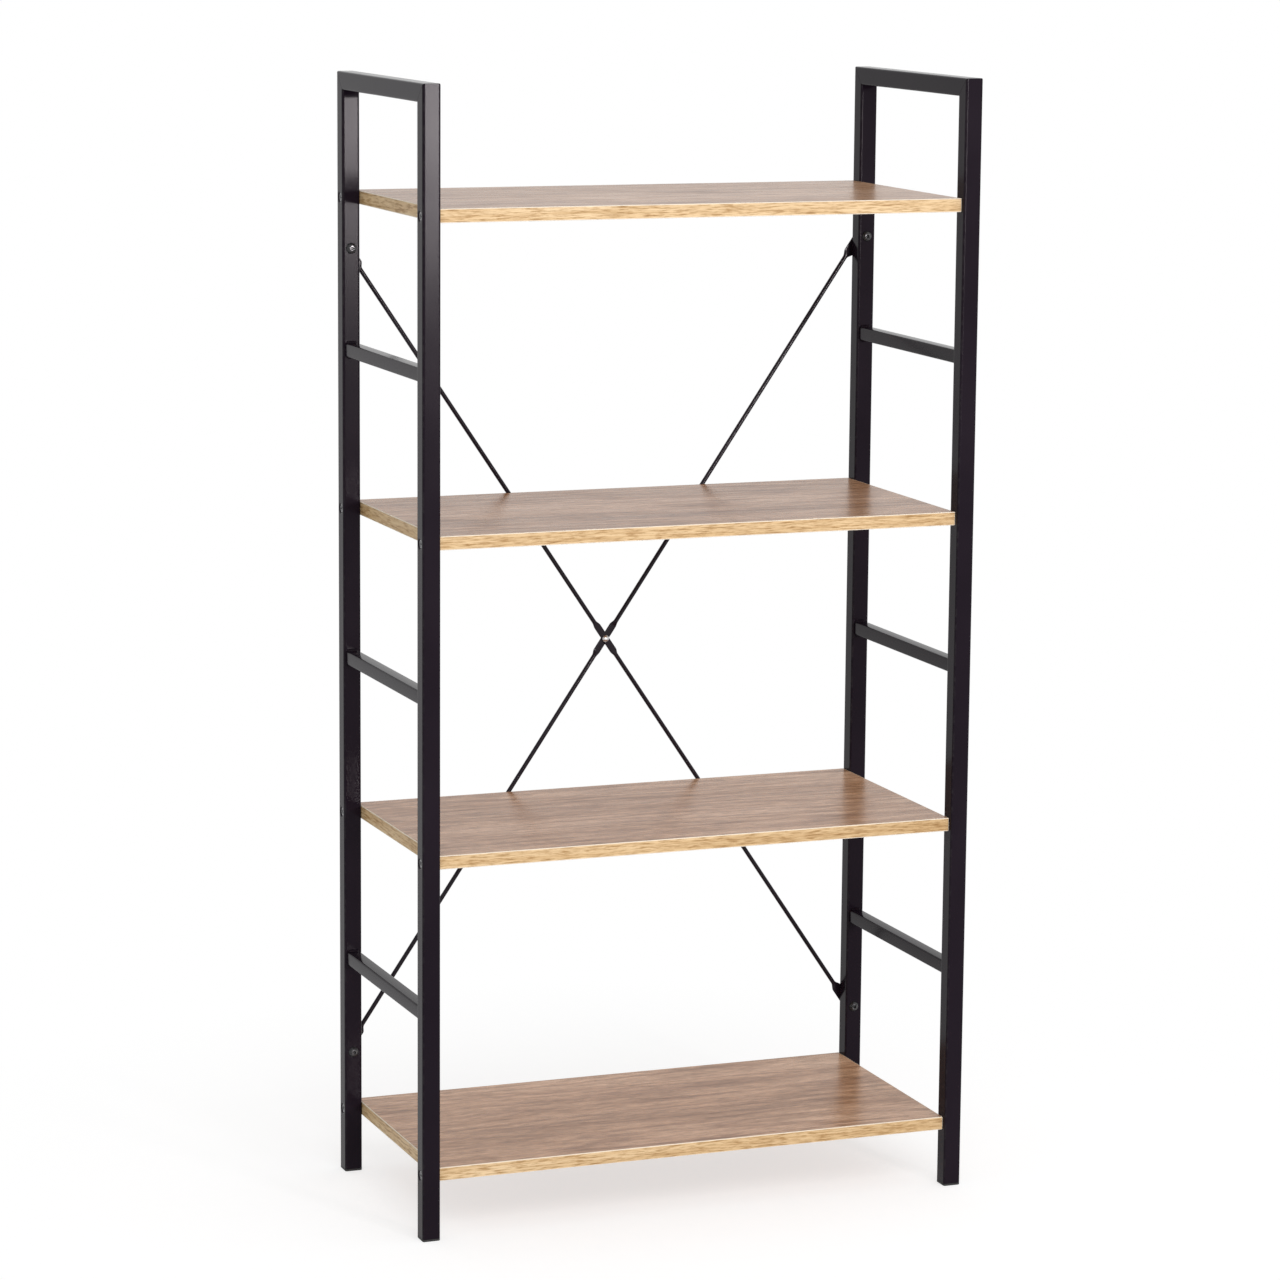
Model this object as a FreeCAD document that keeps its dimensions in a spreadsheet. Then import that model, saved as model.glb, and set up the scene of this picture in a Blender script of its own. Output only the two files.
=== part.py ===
import FreeCAD, Part
import os
import Sketcher

# Four-tier open shelving unit, in millimetres.
#
# Two side frames of square steel tube stand left and right.  Each one is a front and a
# rear upright joined by a mitred top rail and by three smaller rungs that are welded in.
# Four edged boards sit between the frames and are screwed on from outside, through
# dimples pressed into the uprights.  Two round rods cross behind the rear uprights and
# keep the unit square: their ends are pressed flat and bolted through the uprights, and
# they are pinned together in the middle by a rivet.  Plastic plugs close the feet.
#
# Frame: +X to the right, +Y to the rear, +Z up.  The origin is on the floor, in the
# middle of the whole unit, so the side frames' own middle lies a little in front of it.
#
# Screws, bolts, washers, nuts, the rivet and their holes are small and many, so what is
# round in them is drawn with twelve flats.  That leaves the true round by 0.2 mm at most.

SHELVES = 4
RUNGS = SHELVES - 1
LEFT, RIGHT = -1, 1
FRONT, REAR = -1, 1
FLATS = 12
HEX = 6

SIZES = [
    # side frames
    ("frame_width", 640, "outer face to outer face of the two side frames"),
    ("frame_depth", 300, "front face to rear face of a side frame"),
    ("guard_rise", 130, "top of the side frames above the top board"),
    ("tube_size", 20, "side of the square tube of the uprights and top rails"),
    ("tube_wall", 1.2, "wall of that tube"),
    ("tube_corner", 2.2, "outside corner radius of that tube"),
    ("rung_size", 15, "side of the square tube of the rungs"),
    ("rung_wall", 1, "wall of the rung tube"),
    ("rung_corner", 1.8, "outside corner radius of the rung tube"),
    ("rung_rise", 170, "rung's centre above the board below it"),
    ("weld_leg", 2.6, "leg of the weld bead along the tube and along the rung"),
    ("weld_crown", 0.5, "how far the bead bulges past its straight slope"),
    # boards
    ("first_shelf", 80, "top of the lowest board above the floor"),
    ("shelf_pitch", 345, "top of one board to the top of the next"),
    ("board_thickness", 15, "thickness of a board"),
    ("front_cover", 4, "board's front edge in front of the uprights' middle"),
    ("rear_setback", 1, "board's rear edge in front of the uprights' rear faces"),
    ("edging_thickness", 1, "thickness of the strip glued round a board"),
    # dimples and screws that hold the boards
    ("dimple_diameter", 12, "mouth of the dimple pressed into the upright"),
    ("dimple_depth", 2.6, "depth of the dimple down to the screw hole"),
    ("screw_diameter", 5, "shank of the shelf screw"),
    ("screw_head", 9.6, "diameter of the countersunk head"),
    ("screw_length", 46, "tube's outer face to the screw's point"),
    ("screw_point", 5, "length of the tapering point"),
    ("screw_tip", 1, "diameter of the point's blunt end"),
    ("screw_play", 0.2, "gap round the shank in the tube"),
    ("pilot_play", 0.05, "gap round the shank in the board"),
    ("pilot_spare", 2, "pilot hole past the screw's point"),
    # crossed rods
    ("brace_drop", 48, "upper bolts below the underside of the top board"),
    ("brace_rise", 60, "lower bolts above the top of the lowest board"),
    ("rod_diameter", 5, "diameter of the two rods"),
    ("tab_width", 12, "width of a rod's flattened end"),
    ("tab_thickness", 1.6, "thickness of that end"),
    ("tab_length", 23, "bolt's centre to where the flat end begins to round"),
    ("tab_neck", 8, "length over which the flat end turns into the round rod"),
    ("waist_width", 8, "width of a rod's flattened middle"),
    ("waist_thickness", 2.3, "thickness of that middle"),
    ("waist_length", 34, "length of that middle"),
    ("waist_neck", 7, "length over which the middle turns into the round rod"),
    # bolts, washers and nuts of the rods
    ("bolt_diameter", 6, "shank of the bolt"),
    ("bolt_length", 30, "under the head to the bolt's end"),
    ("bolt_head", 12, "diameter of the button head"),
    ("bolt_crown", 3.3, "height of the button head"),
    ("bolt_shoulder", 10, "diameter of the head half way up its crown"),
    ("bolt_flat", 6, "flat on top of the head"),
    ("bolt_play", 0.2, "gap round the shank in the tube, the flat end and the washer"),
    ("thread_play", 0.05, "gap round the shank in the nut"),
    ("washer_diameter", 12, "outside of the washer"),
    ("washer_thickness", 1.2, "thickness of the washer"),
    ("nut_flats", 10, "nut, across flats"),
    ("nut_height", 4.8, "height of the nut's hexagon"),
    ("collar_diameter", 9, "locking collar on the nut"),
    ("collar_height", 1.2, "height of that collar"),
    # rivet where the rods cross
    ("rivet_diameter", 4, "shank of the rivet"),
    ("rivet_play", 0.1, "gap round the rivet in the rods"),
    ("rivet_head", 7.8, "diameter of the domed head in front"),
    ("rivet_crown", 2.4, "height of that head"),
    ("rivet_flat", 4.2, "flat on top of the head"),
    ("rivet_bevel", 1.9, "how far the head's bevel comes down from that flat"),
    ("rivet_tail", 7, "diameter of the upset head behind"),
    ("rivet_tail_height", 1.4, "height of the upset head"),
    # plugs in the feet
    ("plug_flange", 2.5, "thickness of the plug's flange under the tube"),
    ("plug_depth", 16, "how far the plug reaches up into the tube"),
    ("plug_play", 0.5, "gap between the plug's stem and the tube"),
    ("plug_wall", 1.6, "wall of the plug's hollow stem"),
    ("fin_height", 1, "thickness of each gripping fin"),
    ("fin_pitch", 4.5, "fin to fin"),
    ("fin_play", 0.05, "gap between a fin and the tube"),
]
FINS = 3

# Places that several pieces share, as expressions on the sheet "Size".
UPRIGHT_X = "(Size.frame_width - Size.tube_size) / 2"
UPRIGHT_Y = "(Size.frame_depth - Size.tube_size) / 2"
REAR_REACH = "(Size.bolt_length - Size.tube_size)"
FRAME_MIDDLE = f"(-{REAR_REACH} / 2)"
REAR_FACE = f"({FRAME_MIDDLE} + Size.frame_depth / 2)"
TUBE_HALF = "Size.tube_size / 2"
BOARD_WIDTH = "(Size.frame_width - 2 * Size.tube_size)"
BOARD_FRONT = f"({UPRIGHT_Y} + Size.front_cover)"
BOARD_REAR = "(Size.frame_depth / 2 - Size.rear_setback)"
BOARD_DEPTH = f"({BOARD_FRONT} + {BOARD_REAR})"
BOARD_SHIFT = f"(({BOARD_REAR} - {BOARD_FRONT}) / 2)"
BOARD_MIDDLE = f"({FRAME_MIDDLE} + {BOARD_SHIFT})"
SCREW_LEVEL = "(Size.first_shelf - Size.board_thickness / 2)"
SCREW_HOLE = "(Size.screw_diameter / 2 + Size.screw_play)"
PILOT_HOLE = "(Size.screw_diameter / 2 + Size.pilot_play)"
BOLT_HOLE = "(Size.bolt_diameter / 2 + Size.bolt_play)"
BRACE_LOW = "(Size.first_shelf + Size.brace_rise)"
TOP_SHELF = f"(Size.first_shelf + {SHELVES - 1} * Size.shelf_pitch)"
FRAME_TOP = f"({TOP_SHELF} + Size.guard_rise)"
BRACE_HIGH = f"({TOP_SHELF} - Size.board_thickness - Size.brace_drop)"
BRACE_SPAN = f"({BRACE_HIGH} - {BRACE_LOW})"
ROD_HALF = f"(hypot(2 * {UPRIGHT_X}; {BRACE_SPAN}) / 2)"
ROD_SLOPE = f"atan2({BRACE_SPAN}; 2 * {UPRIGHT_X})"

doc = FreeCAD.newDocument("shelving_unit")
sheet = doc.addObject("Spreadsheet::Sheet", "Size")
for row, (name, number, meaning) in enumerate(SIZES, start=1):
    sheet.set(f"A{row}", meaning)
    sheet.set(f"B{row}", str(number))
    sheet.setAlias(f"B{row}", name)
doc.recompute()

pieces = []


# ---------------------------------------------------------------- sketching helpers


def number(text):
    """What an expression comes to with the sheet as it stands."""
    found = sheet.evalExpression(text)
    return float(getattr(found, "Value", found))


def bind(thing, **places):
    """Tie properties of an object to expressions; a double underscore stands for a dot."""
    for name, text in places.items():
        thing.setExpression(name.replace("__", "."), text)


def new_piece(label, x="0", y="0", z="0"):
    """A body of its own, placed in the unit's frame."""
    body = doc.addObject("PartDesign::Body", label)
    body.Label = label
    bind(body, Placement__Base__x=x, Placement__Base__y=y, Placement__Base__z=z)
    pieces.append(body)
    return body


def origin_item(body, role):
    """The body's own origin plane or axis with that role."""
    for item in body.Origin.OriginFeatures:
        if item.Role == role:
            return item
    raise ValueError(role)


def new_sketch(body, name, plane, along="0", up="0", out="0"):
    """A sketch on an origin plane, moved within the plane and out along its normal."""
    sketch = body.newObject("Sketcher::SketchObject", f"{body.Label}_{name}")
    sketch.AttachmentSupport = [(origin_item(body, plane), "")]
    sketch.MapMode = "FlatFace"
    bind(
        sketch,
        AttachmentOffset__Base__x=along,
        AttachmentOffset__Base__y=up,
        AttachmentOffset__Base__z=out,
    )
    return sketch


def pin(sketch, item, point, x=None, y=None):
    """Hold one point of a sketch item at expressions x and y, measured from the origin."""
    for kind, axis, text in (("DistanceX", -2, x), ("DistanceY", -1, y)):
        if text is None:
            continue
        if text == "0":
            sketch.addConstraint(Sketcher.Constraint("PointOnObject", item, point, axis))
            continue
        held = Sketcher.Constraint(kind, -1, 1, item, point, number(text))
        sketch.setExpression(f"Constraints[{sketch.addConstraint(held)}]", text)


def loop(sketch, corners):
    """Close an outline, anticlockwise, through corners given as pairs of expressions.

    A corner with a second pair starts an arc to the next corner about that centre, and
    one with a plain pair starts a straight line.
    """
    first = sketch.GeometryCount
    count = len(corners)
    points = [FreeCAD.Vector(number(c[0]), number(c[1]), 0) for c in corners]
    for index, corner in enumerate(corners):
        start, end = points[index], points[(index + 1) % count]
        if len(corner) == 2:
            sketch.addGeometry(Part.LineSegment(start, end), False)
            continue
        centre = FreeCAD.Vector(number(corner[2]), number(corner[3]), 0)
        middle = centre + ((start + end) / 2 - centre).normalize() * (start - centre).Length
        sketch.addGeometry(Part.Arc(start, middle, end), False)
    for index, corner in enumerate(corners):
        item = first + index
        before = first + (index - 1) % count
        sketch.addConstraint(Sketcher.Constraint("Coincident", before, 2, item, 1))
        pin(sketch, item, 1, corner[0], corner[1])
        if len(corner) == 4:
            level = abs(points[index].y - points[(index + 1) % count].y) < 1e-6
            if level:
                pin(sketch, item, 3, y=corner[3])
            else:
                pin(sketch, item, 3, x=corner[2])


def rounded_square(sketch, half, corner):
    """A square of the given half side, about the sketch's origin, with round corners."""
    inner = f"({half} - {corner})"
    loop(
        sketch,
        [
            (half, f"-{inner}"),
            (half, inner, inner, inner),
            (inner, half),
            (f"-{inner}", half, f"-{inner}", inner),
            (f"-{half}", inner),
            (f"-{half}", f"-{inner}", f"-{inner}", f"-{inner}"),
            (f"-{inner}", f"-{half}"),
            (inner, f"-{half}", inner, f"-{inner}"),
        ],
    )


def tube_section(sketch, side, wall, corner):
    """Square tube with round outside corners; inside, its corners are drawn square."""
    half = f"({side} / 2)"
    bore = f"({half} - {wall})"
    rounded_square(sketch, half, corner)
    rectangle(sketch, f"-{bore}", bore, f"-{bore}", bore)


def rectangle(sketch, left, right, low, high):
    """A plain rectangle between four expressions."""
    loop(sketch, [(left, low), (right, low), (right, high), (left, high)])


def polygon(sketch, radius, x="0", y="0", sides=FLATS):
    """A regular polygon about x, y with its corners on the given radius."""
    angles = [360 * k / sides for k in range(sides)]
    loop(sketch, [(f"{x} + {radius} * cos({a})", f"{y} + {radius} * sin({a})") for a in angles])


def ring(sketch, radius, x="0", y="0"):
    """A circle of the given radius about x, y."""
    centre = FreeCAD.Vector(number(x), number(y), 0)
    up = FreeCAD.Vector(0, 0, 1)
    item = sketch.addGeometry(Part.Circle(centre, up, number(radius)), False)
    pin(sketch, item, 3, x, y)
    held = Sketcher.Constraint("Radius", item, number(radius))
    sketch.setExpression(f"Constraints[{sketch.addConstraint(held)}]", radius)


# ---------------------------------------------------------------- feature helpers


def feature(body, kind, name, profile, **values):
    """Add a sketch-based feature to a body and set its plain properties."""
    made = body.newObject(f"PartDesign::{kind}", f"{body.Label}_{name}")
    made.Profile = profile
    for key, value in values.items():
        setattr(made, key, value)
    profile.Visibility = False
    return made


def pad(body, name, profile, length, centred=False, backwards=False):
    """Extrude a sketch, to both sides of its plane when centred."""
    made = feature(body, "Pad", name, profile, Reversed=backwards)
    made.SideType = "Symmetric" if centred else "One side"
    bind(made, Length=length)
    return made


def cut_through(body, name, profile):
    """Cut a sketch through the whole body, to both sides of its plane."""
    return feature(body, "Pocket", name, profile, Type="ThroughAll", SideType="Symmetric")


def sink(body, name, profile, depth, backwards=False):
    """Cut a sketch to a depth, against its normal unless backwards."""
    made = feature(body, "Pocket", name, profile, Reversed=backwards)
    bind(made, Length=depth)
    return made


def taper(body, kind, name, plane, stations, along="0", up="0"):
    """Loft through twelve-sided sections, each given as its station out and its radius.

    The stations run along the plane's normal, and the sections are joined by flat faces.
    """
    sections = []
    for index, (out, radius) in enumerate(stations):
        sketch = new_sketch(body, f"{name}_{index}", plane, along, up, out)
        polygon(sketch, radius)
        sections.append(sketch)
    return feature(body, kind, name, sections[0], Sections=sections[1:], Ruled=True)


def repeat(body, name, originals, axis, length, count, second=None):
    """Copy features along an axis, and along a second one where it is given."""
    made = body.newObject("PartDesign::LinearPattern", f"{body.Label}_{name}")
    made.Originals = originals
    made.Direction = (origin_item(body, axis), [""])
    made.Occurrences = count
    bind(made, Length=length)
    if second:
        axis_2, length_2, count_2 = second
        made.Direction2 = (origin_item(body, axis_2), [""])
        made.Occurrences2 = count_2
        bind(made, Length2=length_2)
    body.Tip = made
    return made


def mirror(body, name, originals, plane):
    """Copy features to the other side of one of the body's origin planes."""
    made = body.newObject("PartDesign::Mirrored", f"{body.Label}_{name}")
    made.Originals = originals
    made.MirrorPlane = (origin_item(body, plane), [""])
    body.Tip = made
    return made


# ---------------------------------------------------------------- side frames


def upright(label, side, end):
    """Square tube from the foot plug to the top, mitred at the top towards its partner."""
    body = new_piece(
        label,
        x=f"{side} * {UPRIGHT_X}",
        y=f"{FRAME_MIDDLE} + {end} * {UPRIGHT_Y}",
    )
    section = new_sketch(body, "section", "XY_Plane", out="Size.plug_flange")
    tube_section(section, "Size.tube_size", "Size.tube_wall", "Size.tube_corner")
    pad(body, "tube", section, f"{FRAME_TOP} - Size.plug_flange")

    # The mitre falls at 45 degrees from the outer top edge, and the cutter is drawn one
    # tube width longer at both ends.
    inner = f"{-end} * 3 * {TUBE_HALF}"
    outer = f"{end} * 3 * {TUBE_HALF}"
    top = f"({FRAME_TOP} + Size.tube_size)"
    low = f"({FRAME_TOP} - 2 * Size.tube_size)"
    wedge = [(outer, top), (inner, top), (inner, low)]
    mitre = new_sketch(body, "mitre", "YZ_Plane")
    loop(mitre, wedge if end == REAR else wedge[::-1])
    cut_through(body, "mitre_cut", mitre)

    # A dimple is the tube's wall pressed inwards as a cone.  Its shell is added first,
    # then the conical seat and the screw hole are cut out of it, through both walls.
    def inwards(depth):
        return f"{side} * ({TUBE_HALF} - {depth})"

    mouth = "(Size.dimple_diameter / 2)"
    shell = [
        (inwards("Size.tube_wall"), mouth),
        (inwards("(Size.dimple_depth + Size.tube_wall)"), SCREW_HOLE),
    ]
    seat = [
        (inwards("-Size.tube_wall"), mouth),
        (inwards("0"), mouth),
        (inwards("Size.dimple_depth"), SCREW_HOLE),
        (inwards("(Size.tube_size + Size.tube_wall)"), SCREW_HOLE),
    ]
    pressed = taper(body, "AdditiveLoft", "dimple", "YZ_Plane", shell, up=SCREW_LEVEL)
    seated = taper(body, "SubtractiveLoft", "screw_seat", "YZ_Plane", seat, up=SCREW_LEVEL)
    rise = f"{SHELVES - 1} * Size.shelf_pitch"
    repeat(body, "dimples", [pressed, seated], "Z_Axis", rise, SHELVES)

    if end == REAR:
        bores = new_sketch(body, "bolt_holes", "XZ_Plane")
        polygon(bores, BOLT_HOLE, y=BRACE_LOW)
        polygon(bores, BOLT_HOLE, y=BRACE_HIGH)
        cut_through(body, "bolt_bores", bores)


def top_rail(label, side):
    """Top of a side frame: the uprights' tube laid front to back, mitred at both ends."""
    body = new_piece(
        label,
        x=f"{side} * {UPRIGHT_X}",
        y=FRAME_MIDDLE,
        z=f"{FRAME_TOP} - {TUBE_HALF}",
    )
    section = new_sketch(body, "section", "XZ_Plane")
    tube_section(section, "Size.tube_size", "Size.tube_wall", "Size.tube_corner")
    pad(body, "tube", section, "Size.frame_depth", centred=True)
    mitres = new_sketch(body, "mitres", "YZ_Plane")
    for end in (FRONT, REAR):
        outer = f"{end} * (Size.frame_depth / 2 + Size.tube_size)"
        inner = f"{end} * (Size.frame_depth / 2 - 2 * Size.tube_size)"
        top = f"3 * {TUBE_HALF}"
        low = f"-3 * {TUBE_HALF}"
        wedge = [(outer, top), (outer, low), (inner, low)]
        loop(mitres, wedge if end == FRONT else wedge[::-1])
    cut_through(body, "mitre_cuts", mitres)


def rung(label, side, bay):
    """Smaller tube between the two uprights of a side frame, half way up a bay."""
    body = new_piece(
        label,
        x=f"{side} * {UPRIGHT_X}",
        y=FRAME_MIDDLE,
        z=f"Size.first_shelf + {bay} * Size.shelf_pitch + Size.rung_rise",
    )
    section = new_sketch(body, "section", "XZ_Plane")
    tube_section(section, "Size.rung_size", "Size.rung_wall", "Size.rung_corner")
    pad(body, "tube", section, "Size.frame_depth - 2 * Size.tube_size", centred=True)


def frame_welds(label, side):
    """Weld beads over and under every rung end, in the corner with the upright.

    A bead has two equal legs along the two tubes, and its face is crowned: its middle
    stands out past the straight slope, along the corner's bisector.
    """
    body = new_piece(
        label,
        x=f"{side} * {UPRIGHT_X}",
        y=FRAME_MIDDLE,
        z="Size.first_shelf + Size.rung_rise",
    )
    beads = new_sketch(body, "beads", "YZ_Plane")
    bulge = "(Size.weld_leg / 2 + Size.weld_crown / sqrt(2))"
    for end in (FRONT, REAR):
        for over in (-1, 1):

            def spot(along, above):
                y = f"{end} * (Size.frame_depth / 2 - Size.tube_size - {along})"
                return y, f"{over} * (Size.rung_size / 2 + {above})"

            outline = [
                spot("0", "0"),
                spot("0", "Size.weld_leg"),
                spot(bulge, bulge),
                spot("Size.weld_leg", "0"),
            ]
            loop(beads, outline if end == over else outline[::-1])
    width = "Size.rung_size - 2 * Size.rung_corner"
    bead = pad(body, "bead", beads, width, centred=True)
    rise = f"{RUNGS - 1} * Size.shelf_pitch"
    repeat(body, "beads_up", [bead], "Z_Axis", rise, RUNGS)


def foot_plugs():
    """Push-in plugs: a flange under each tube and a hollow, finned stem inside it."""
    body = new_piece("foot_plugs", x=f"-{UPRIGHT_X}", y=f"{FRAME_MIDDLE} - {UPRIGHT_Y}")
    bore = f"({TUBE_HALF} - Size.tube_wall)"
    stem = f"({bore} - Size.plug_play)"
    hollow = f"({stem} - Size.plug_wall)"
    fin = f"({bore} - Size.fin_play)"

    flange = new_sketch(body, "flange", "XY_Plane")
    rounded_square(flange, TUBE_HALF, "Size.tube_corner")
    foot = pad(body, "foot", flange, "Size.plug_flange")
    shaft = new_sketch(body, "stem", "XY_Plane", out="Size.plug_flange")
    rectangle(shaft, f"-{stem}", stem, f"-{stem}", stem)
    stem_pad = pad(body, "stem_block", shaft, "Size.plug_depth")
    fins = []
    for index in range(1, FINS + 1):
        level = f"Size.plug_flange + {index} * Size.fin_pitch"
        grip = new_sketch(body, f"fin_{index}", "XY_Plane", out=level)
        rectangle(grip, f"-{fin}", fin, f"-{fin}", fin)
        fins.append(pad(body, f"fin_plate_{index}", grip, "Size.fin_height"))
    well = new_sketch(body, "well", "XY_Plane", out="Size.plug_flange + Size.plug_depth")
    rectangle(well, f"-{hollow}", hollow, f"-{hollow}", hollow)
    hollowed = sink(body, "stem_well", well, "Size.plug_depth")
    doc.recompute()
    repeat(
        body,
        "four_feet",
        [foot, stem_pad, *fins, hollowed],
        "X_Axis",
        f"2 * {UPRIGHT_X}",
        2,
        second=("Y_Axis", f"2 * {UPRIGHT_Y}", 2),
    )


# ---------------------------------------------------------------- boards


def shelf(index):
    """One board, edged all round and bored at both ends for its four screws."""
    level = f"Size.first_shelf + {index} * Size.shelf_pitch"
    name = f"shelf_{index + 1}"
    core_width = f"({BOARD_WIDTH} - 2 * Size.edging_thickness)"
    core_depth = f"({BOARD_DEPTH} - 2 * Size.edging_thickness)"
    middle = "-Size.board_thickness / 2"
    screw_rows = [f"{end} * {UPRIGHT_Y} - {BOARD_SHIFT}" for end in (FRONT, REAR)]

    board = new_piece(f"{name}_board", y=BOARD_MIDDLE, z=level)
    sheet_cut = new_sketch(board, "outline", "XY_Plane")
    half_x = f"{core_width} / 2"
    half_y = f"{core_depth} / 2"
    rectangle(sheet_cut, f"-{half_x}", half_x, f"-{half_y}", half_y)
    pad(board, "slab", sheet_cut, "Size.board_thickness", backwards=True)
    pilots = new_sketch(board, "pilots", "YZ_Plane", out=half_x)
    for row_y in screw_rows:
        polygon(pilots, PILOT_HOLE, x=row_y, y=middle)
    depth = "Size.screw_length - Size.tube_size - Size.edging_thickness + Size.pilot_spare"
    bored = sink(board, "pilot_holes", pilots, depth)
    mirror(board, "other_end", [bored], "YZ_Plane")

    ends = new_piece(f"{name}_end_edging", y=BOARD_MIDDLE, z=level)
    for side, word in ((LEFT, "left"), (RIGHT, "right")):
        strip = new_sketch(ends, word, "YZ_Plane", out=f"{side} * {BOARD_WIDTH} / 2")
        rectangle(strip, f"-{half_y}", half_y, "-Size.board_thickness", "0")
        for row_y in screw_rows:
            polygon(strip, PILOT_HOLE, x=row_y, y=middle)
        pad(ends, f"{word}_strip", strip, "Size.edging_thickness", backwards=side == RIGHT)

    # The long strips cover the ends of the short ones.
    for end, word in ((FRONT, "front"), (REAR, "rear")):
        long_strip = new_piece(f"{name}_{word}_edging", y=BOARD_MIDDLE, z=level)
        place = f"{-end} * {BOARD_DEPTH} / 2"
        strip = new_sketch(long_strip, "face", "XZ_Plane", out=place)
        half = f"{BOARD_WIDTH} / 2"
        rectangle(strip, f"-{half}", half, "-Size.board_thickness", "0")
        inwards = end == FRONT
        pad(long_strip, "strip", strip, "Size.edging_thickness", backwards=inwards)


def shelf_screws():
    """Countersunk screws, driven inwards through the uprights into the board ends.

    The head's cone is the dimple's own cone, so the head sits in it face to face.
    """
    body = new_piece("shelf_screws", y=FRAME_MIDDLE)
    mouth = "Size.dimple_diameter / 2"
    shank = "Size.screw_diameter / 2"
    fall = f"(({mouth} - {SCREW_HOLE}) / Size.dimple_depth)"
    depths = [
        (f"(({mouth} - Size.screw_head / 2) / {fall})", "Size.screw_head / 2"),
        (f"(({mouth} - {shank}) / {fall})", shank),
        ("(Size.screw_length - Size.screw_point)", shank),
        ("Size.screw_length", "Size.screw_tip / 2"),
    ]
    made = []
    for side, word in ((LEFT, "left"), (RIGHT, "right")):
        run = [(f"{side} * (Size.frame_width / 2 - {depth})", r) for depth, r in depths]
        place = {"along": f"-{UPRIGHT_Y}", "up": SCREW_LEVEL}
        made.append(taper(body, "AdditiveLoft", f"{word}_screw", "YZ_Plane", run, **place))
    doc.recompute()
    rise = f"{SHELVES - 1} * Size.shelf_pitch"
    rear = ("Y_Axis", f"2 * {UPRIGHT_Y}", 2)
    repeat(body, "all_boards", made, "Z_Axis", rise, SHELVES, second=rear)


# ---------------------------------------------------------------- crossed rods


def rod_section(body, name, station, half_width, half_thick, offset, round_rod):
    """Cross-section of a rod at a station along it, drawn as four sides.

    Thickness runs along the sketch's first axis and width along its second.  On the round
    rod the four sides are quarter circles, so the loft joins side to side.
    """
    sketch = new_sketch(body, name, "YZ_Plane", along=offset, out=station)
    signs = [(1, -1), (1, 1), (-1, 1), (-1, -1)]
    corners = [(f"{a} * {half_thick}", f"{b} * {half_width}") for a, b in signs]
    if round_rod:
        corners = [(x, y, "0", "0") for x, y in corners]
    loop(sketch, corners)
    return sketch


def brace_rod(label, rise, lap):
    """Round rod with pressed ends and a pressed middle, laid on one diagonal.

    rise is 1 for the rod that climbs to the right and -1 for the one that falls.  lap is
    -1 when the rod's middle is pressed towards the front and 1 towards the rear.
    """
    body = new_piece(
        label,
        y=f"{REAR_FACE} + Size.rod_diameter / 2",
        z=f"({BRACE_LOW} + {BRACE_HIGH}) / 2",
    )
    tilt = FreeCAD.Rotation(FreeCAD.Vector(0, -rise, 0), number(ROD_SLOPE))
    body.Placement = FreeCAD.Placement(FreeCAD.Vector(), tilt)
    bind(body, Placement__Rotation__Angle=ROD_SLOPE)

    quarter = "(Size.rod_diameter / 2 * cos(45))"
    round_size = (quarter, quarter, "0", True)
    tab_offset = "(Size.tab_thickness - Size.rod_diameter) / 2"
    tab_size = ("(Size.tab_width / 2)", "(Size.tab_thickness / 2)", tab_offset, False)
    waist_offset = f"{lap} * Size.waist_thickness / 2"
    waist_size = ("(Size.waist_width / 2)", "(Size.waist_thickness / 2)", waist_offset, False)
    half_run = [
        ("Size.waist_length / 2", waist_size),
        ("(Size.waist_length / 2 + Size.waist_neck)", round_size),
        (f"({ROD_HALF} - Size.tab_length - Size.tab_neck)", round_size),
        (f"({ROD_HALF} - Size.tab_length)", tab_size),
        (ROD_HALF, tab_size),
    ]
    run = [(f"-{station}", size) for station, size in half_run[::-1]] + half_run
    sections = [
        rod_section(body, f"section_{index}", station, *size)
        for index, (station, size) in enumerate(run)
    ]
    feature(body, "AdditiveLoft", "rod", sections[0], Sections=sections[1:], Ruled=True)

    front = "Size.rod_diameter / 2"
    for side, word in ((LEFT, "low"), (RIGHT, "high")):
        cap = new_sketch(body, f"{word}_end", "XZ_Plane", out=front)
        ring(cap, "Size.tab_width / 2", x=f"{side} * {ROD_HALF}")
        pad(body, f"{word}_end_round", cap, "Size.tab_thickness", backwards=True)
    holes = new_sketch(body, "holes", "XZ_Plane")
    for side in (LEFT, RIGHT):
        polygon(holes, BOLT_HOLE, x=f"{side} * {ROD_HALF}")
    polygon(holes, "(Size.rivet_diameter / 2 + Size.rivet_play)")
    cut_through(body, "bores", holes)


def disc(body, name, radius, length, start="0"):
    """Twelve-sided cylinder from a station on the XZ plane towards the rear."""
    sketch = new_sketch(body, f"{name}_section", "XZ_Plane", out=start)
    polygon(sketch, radius)
    return pad(body, name, sketch, length, backwards=True)


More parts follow.
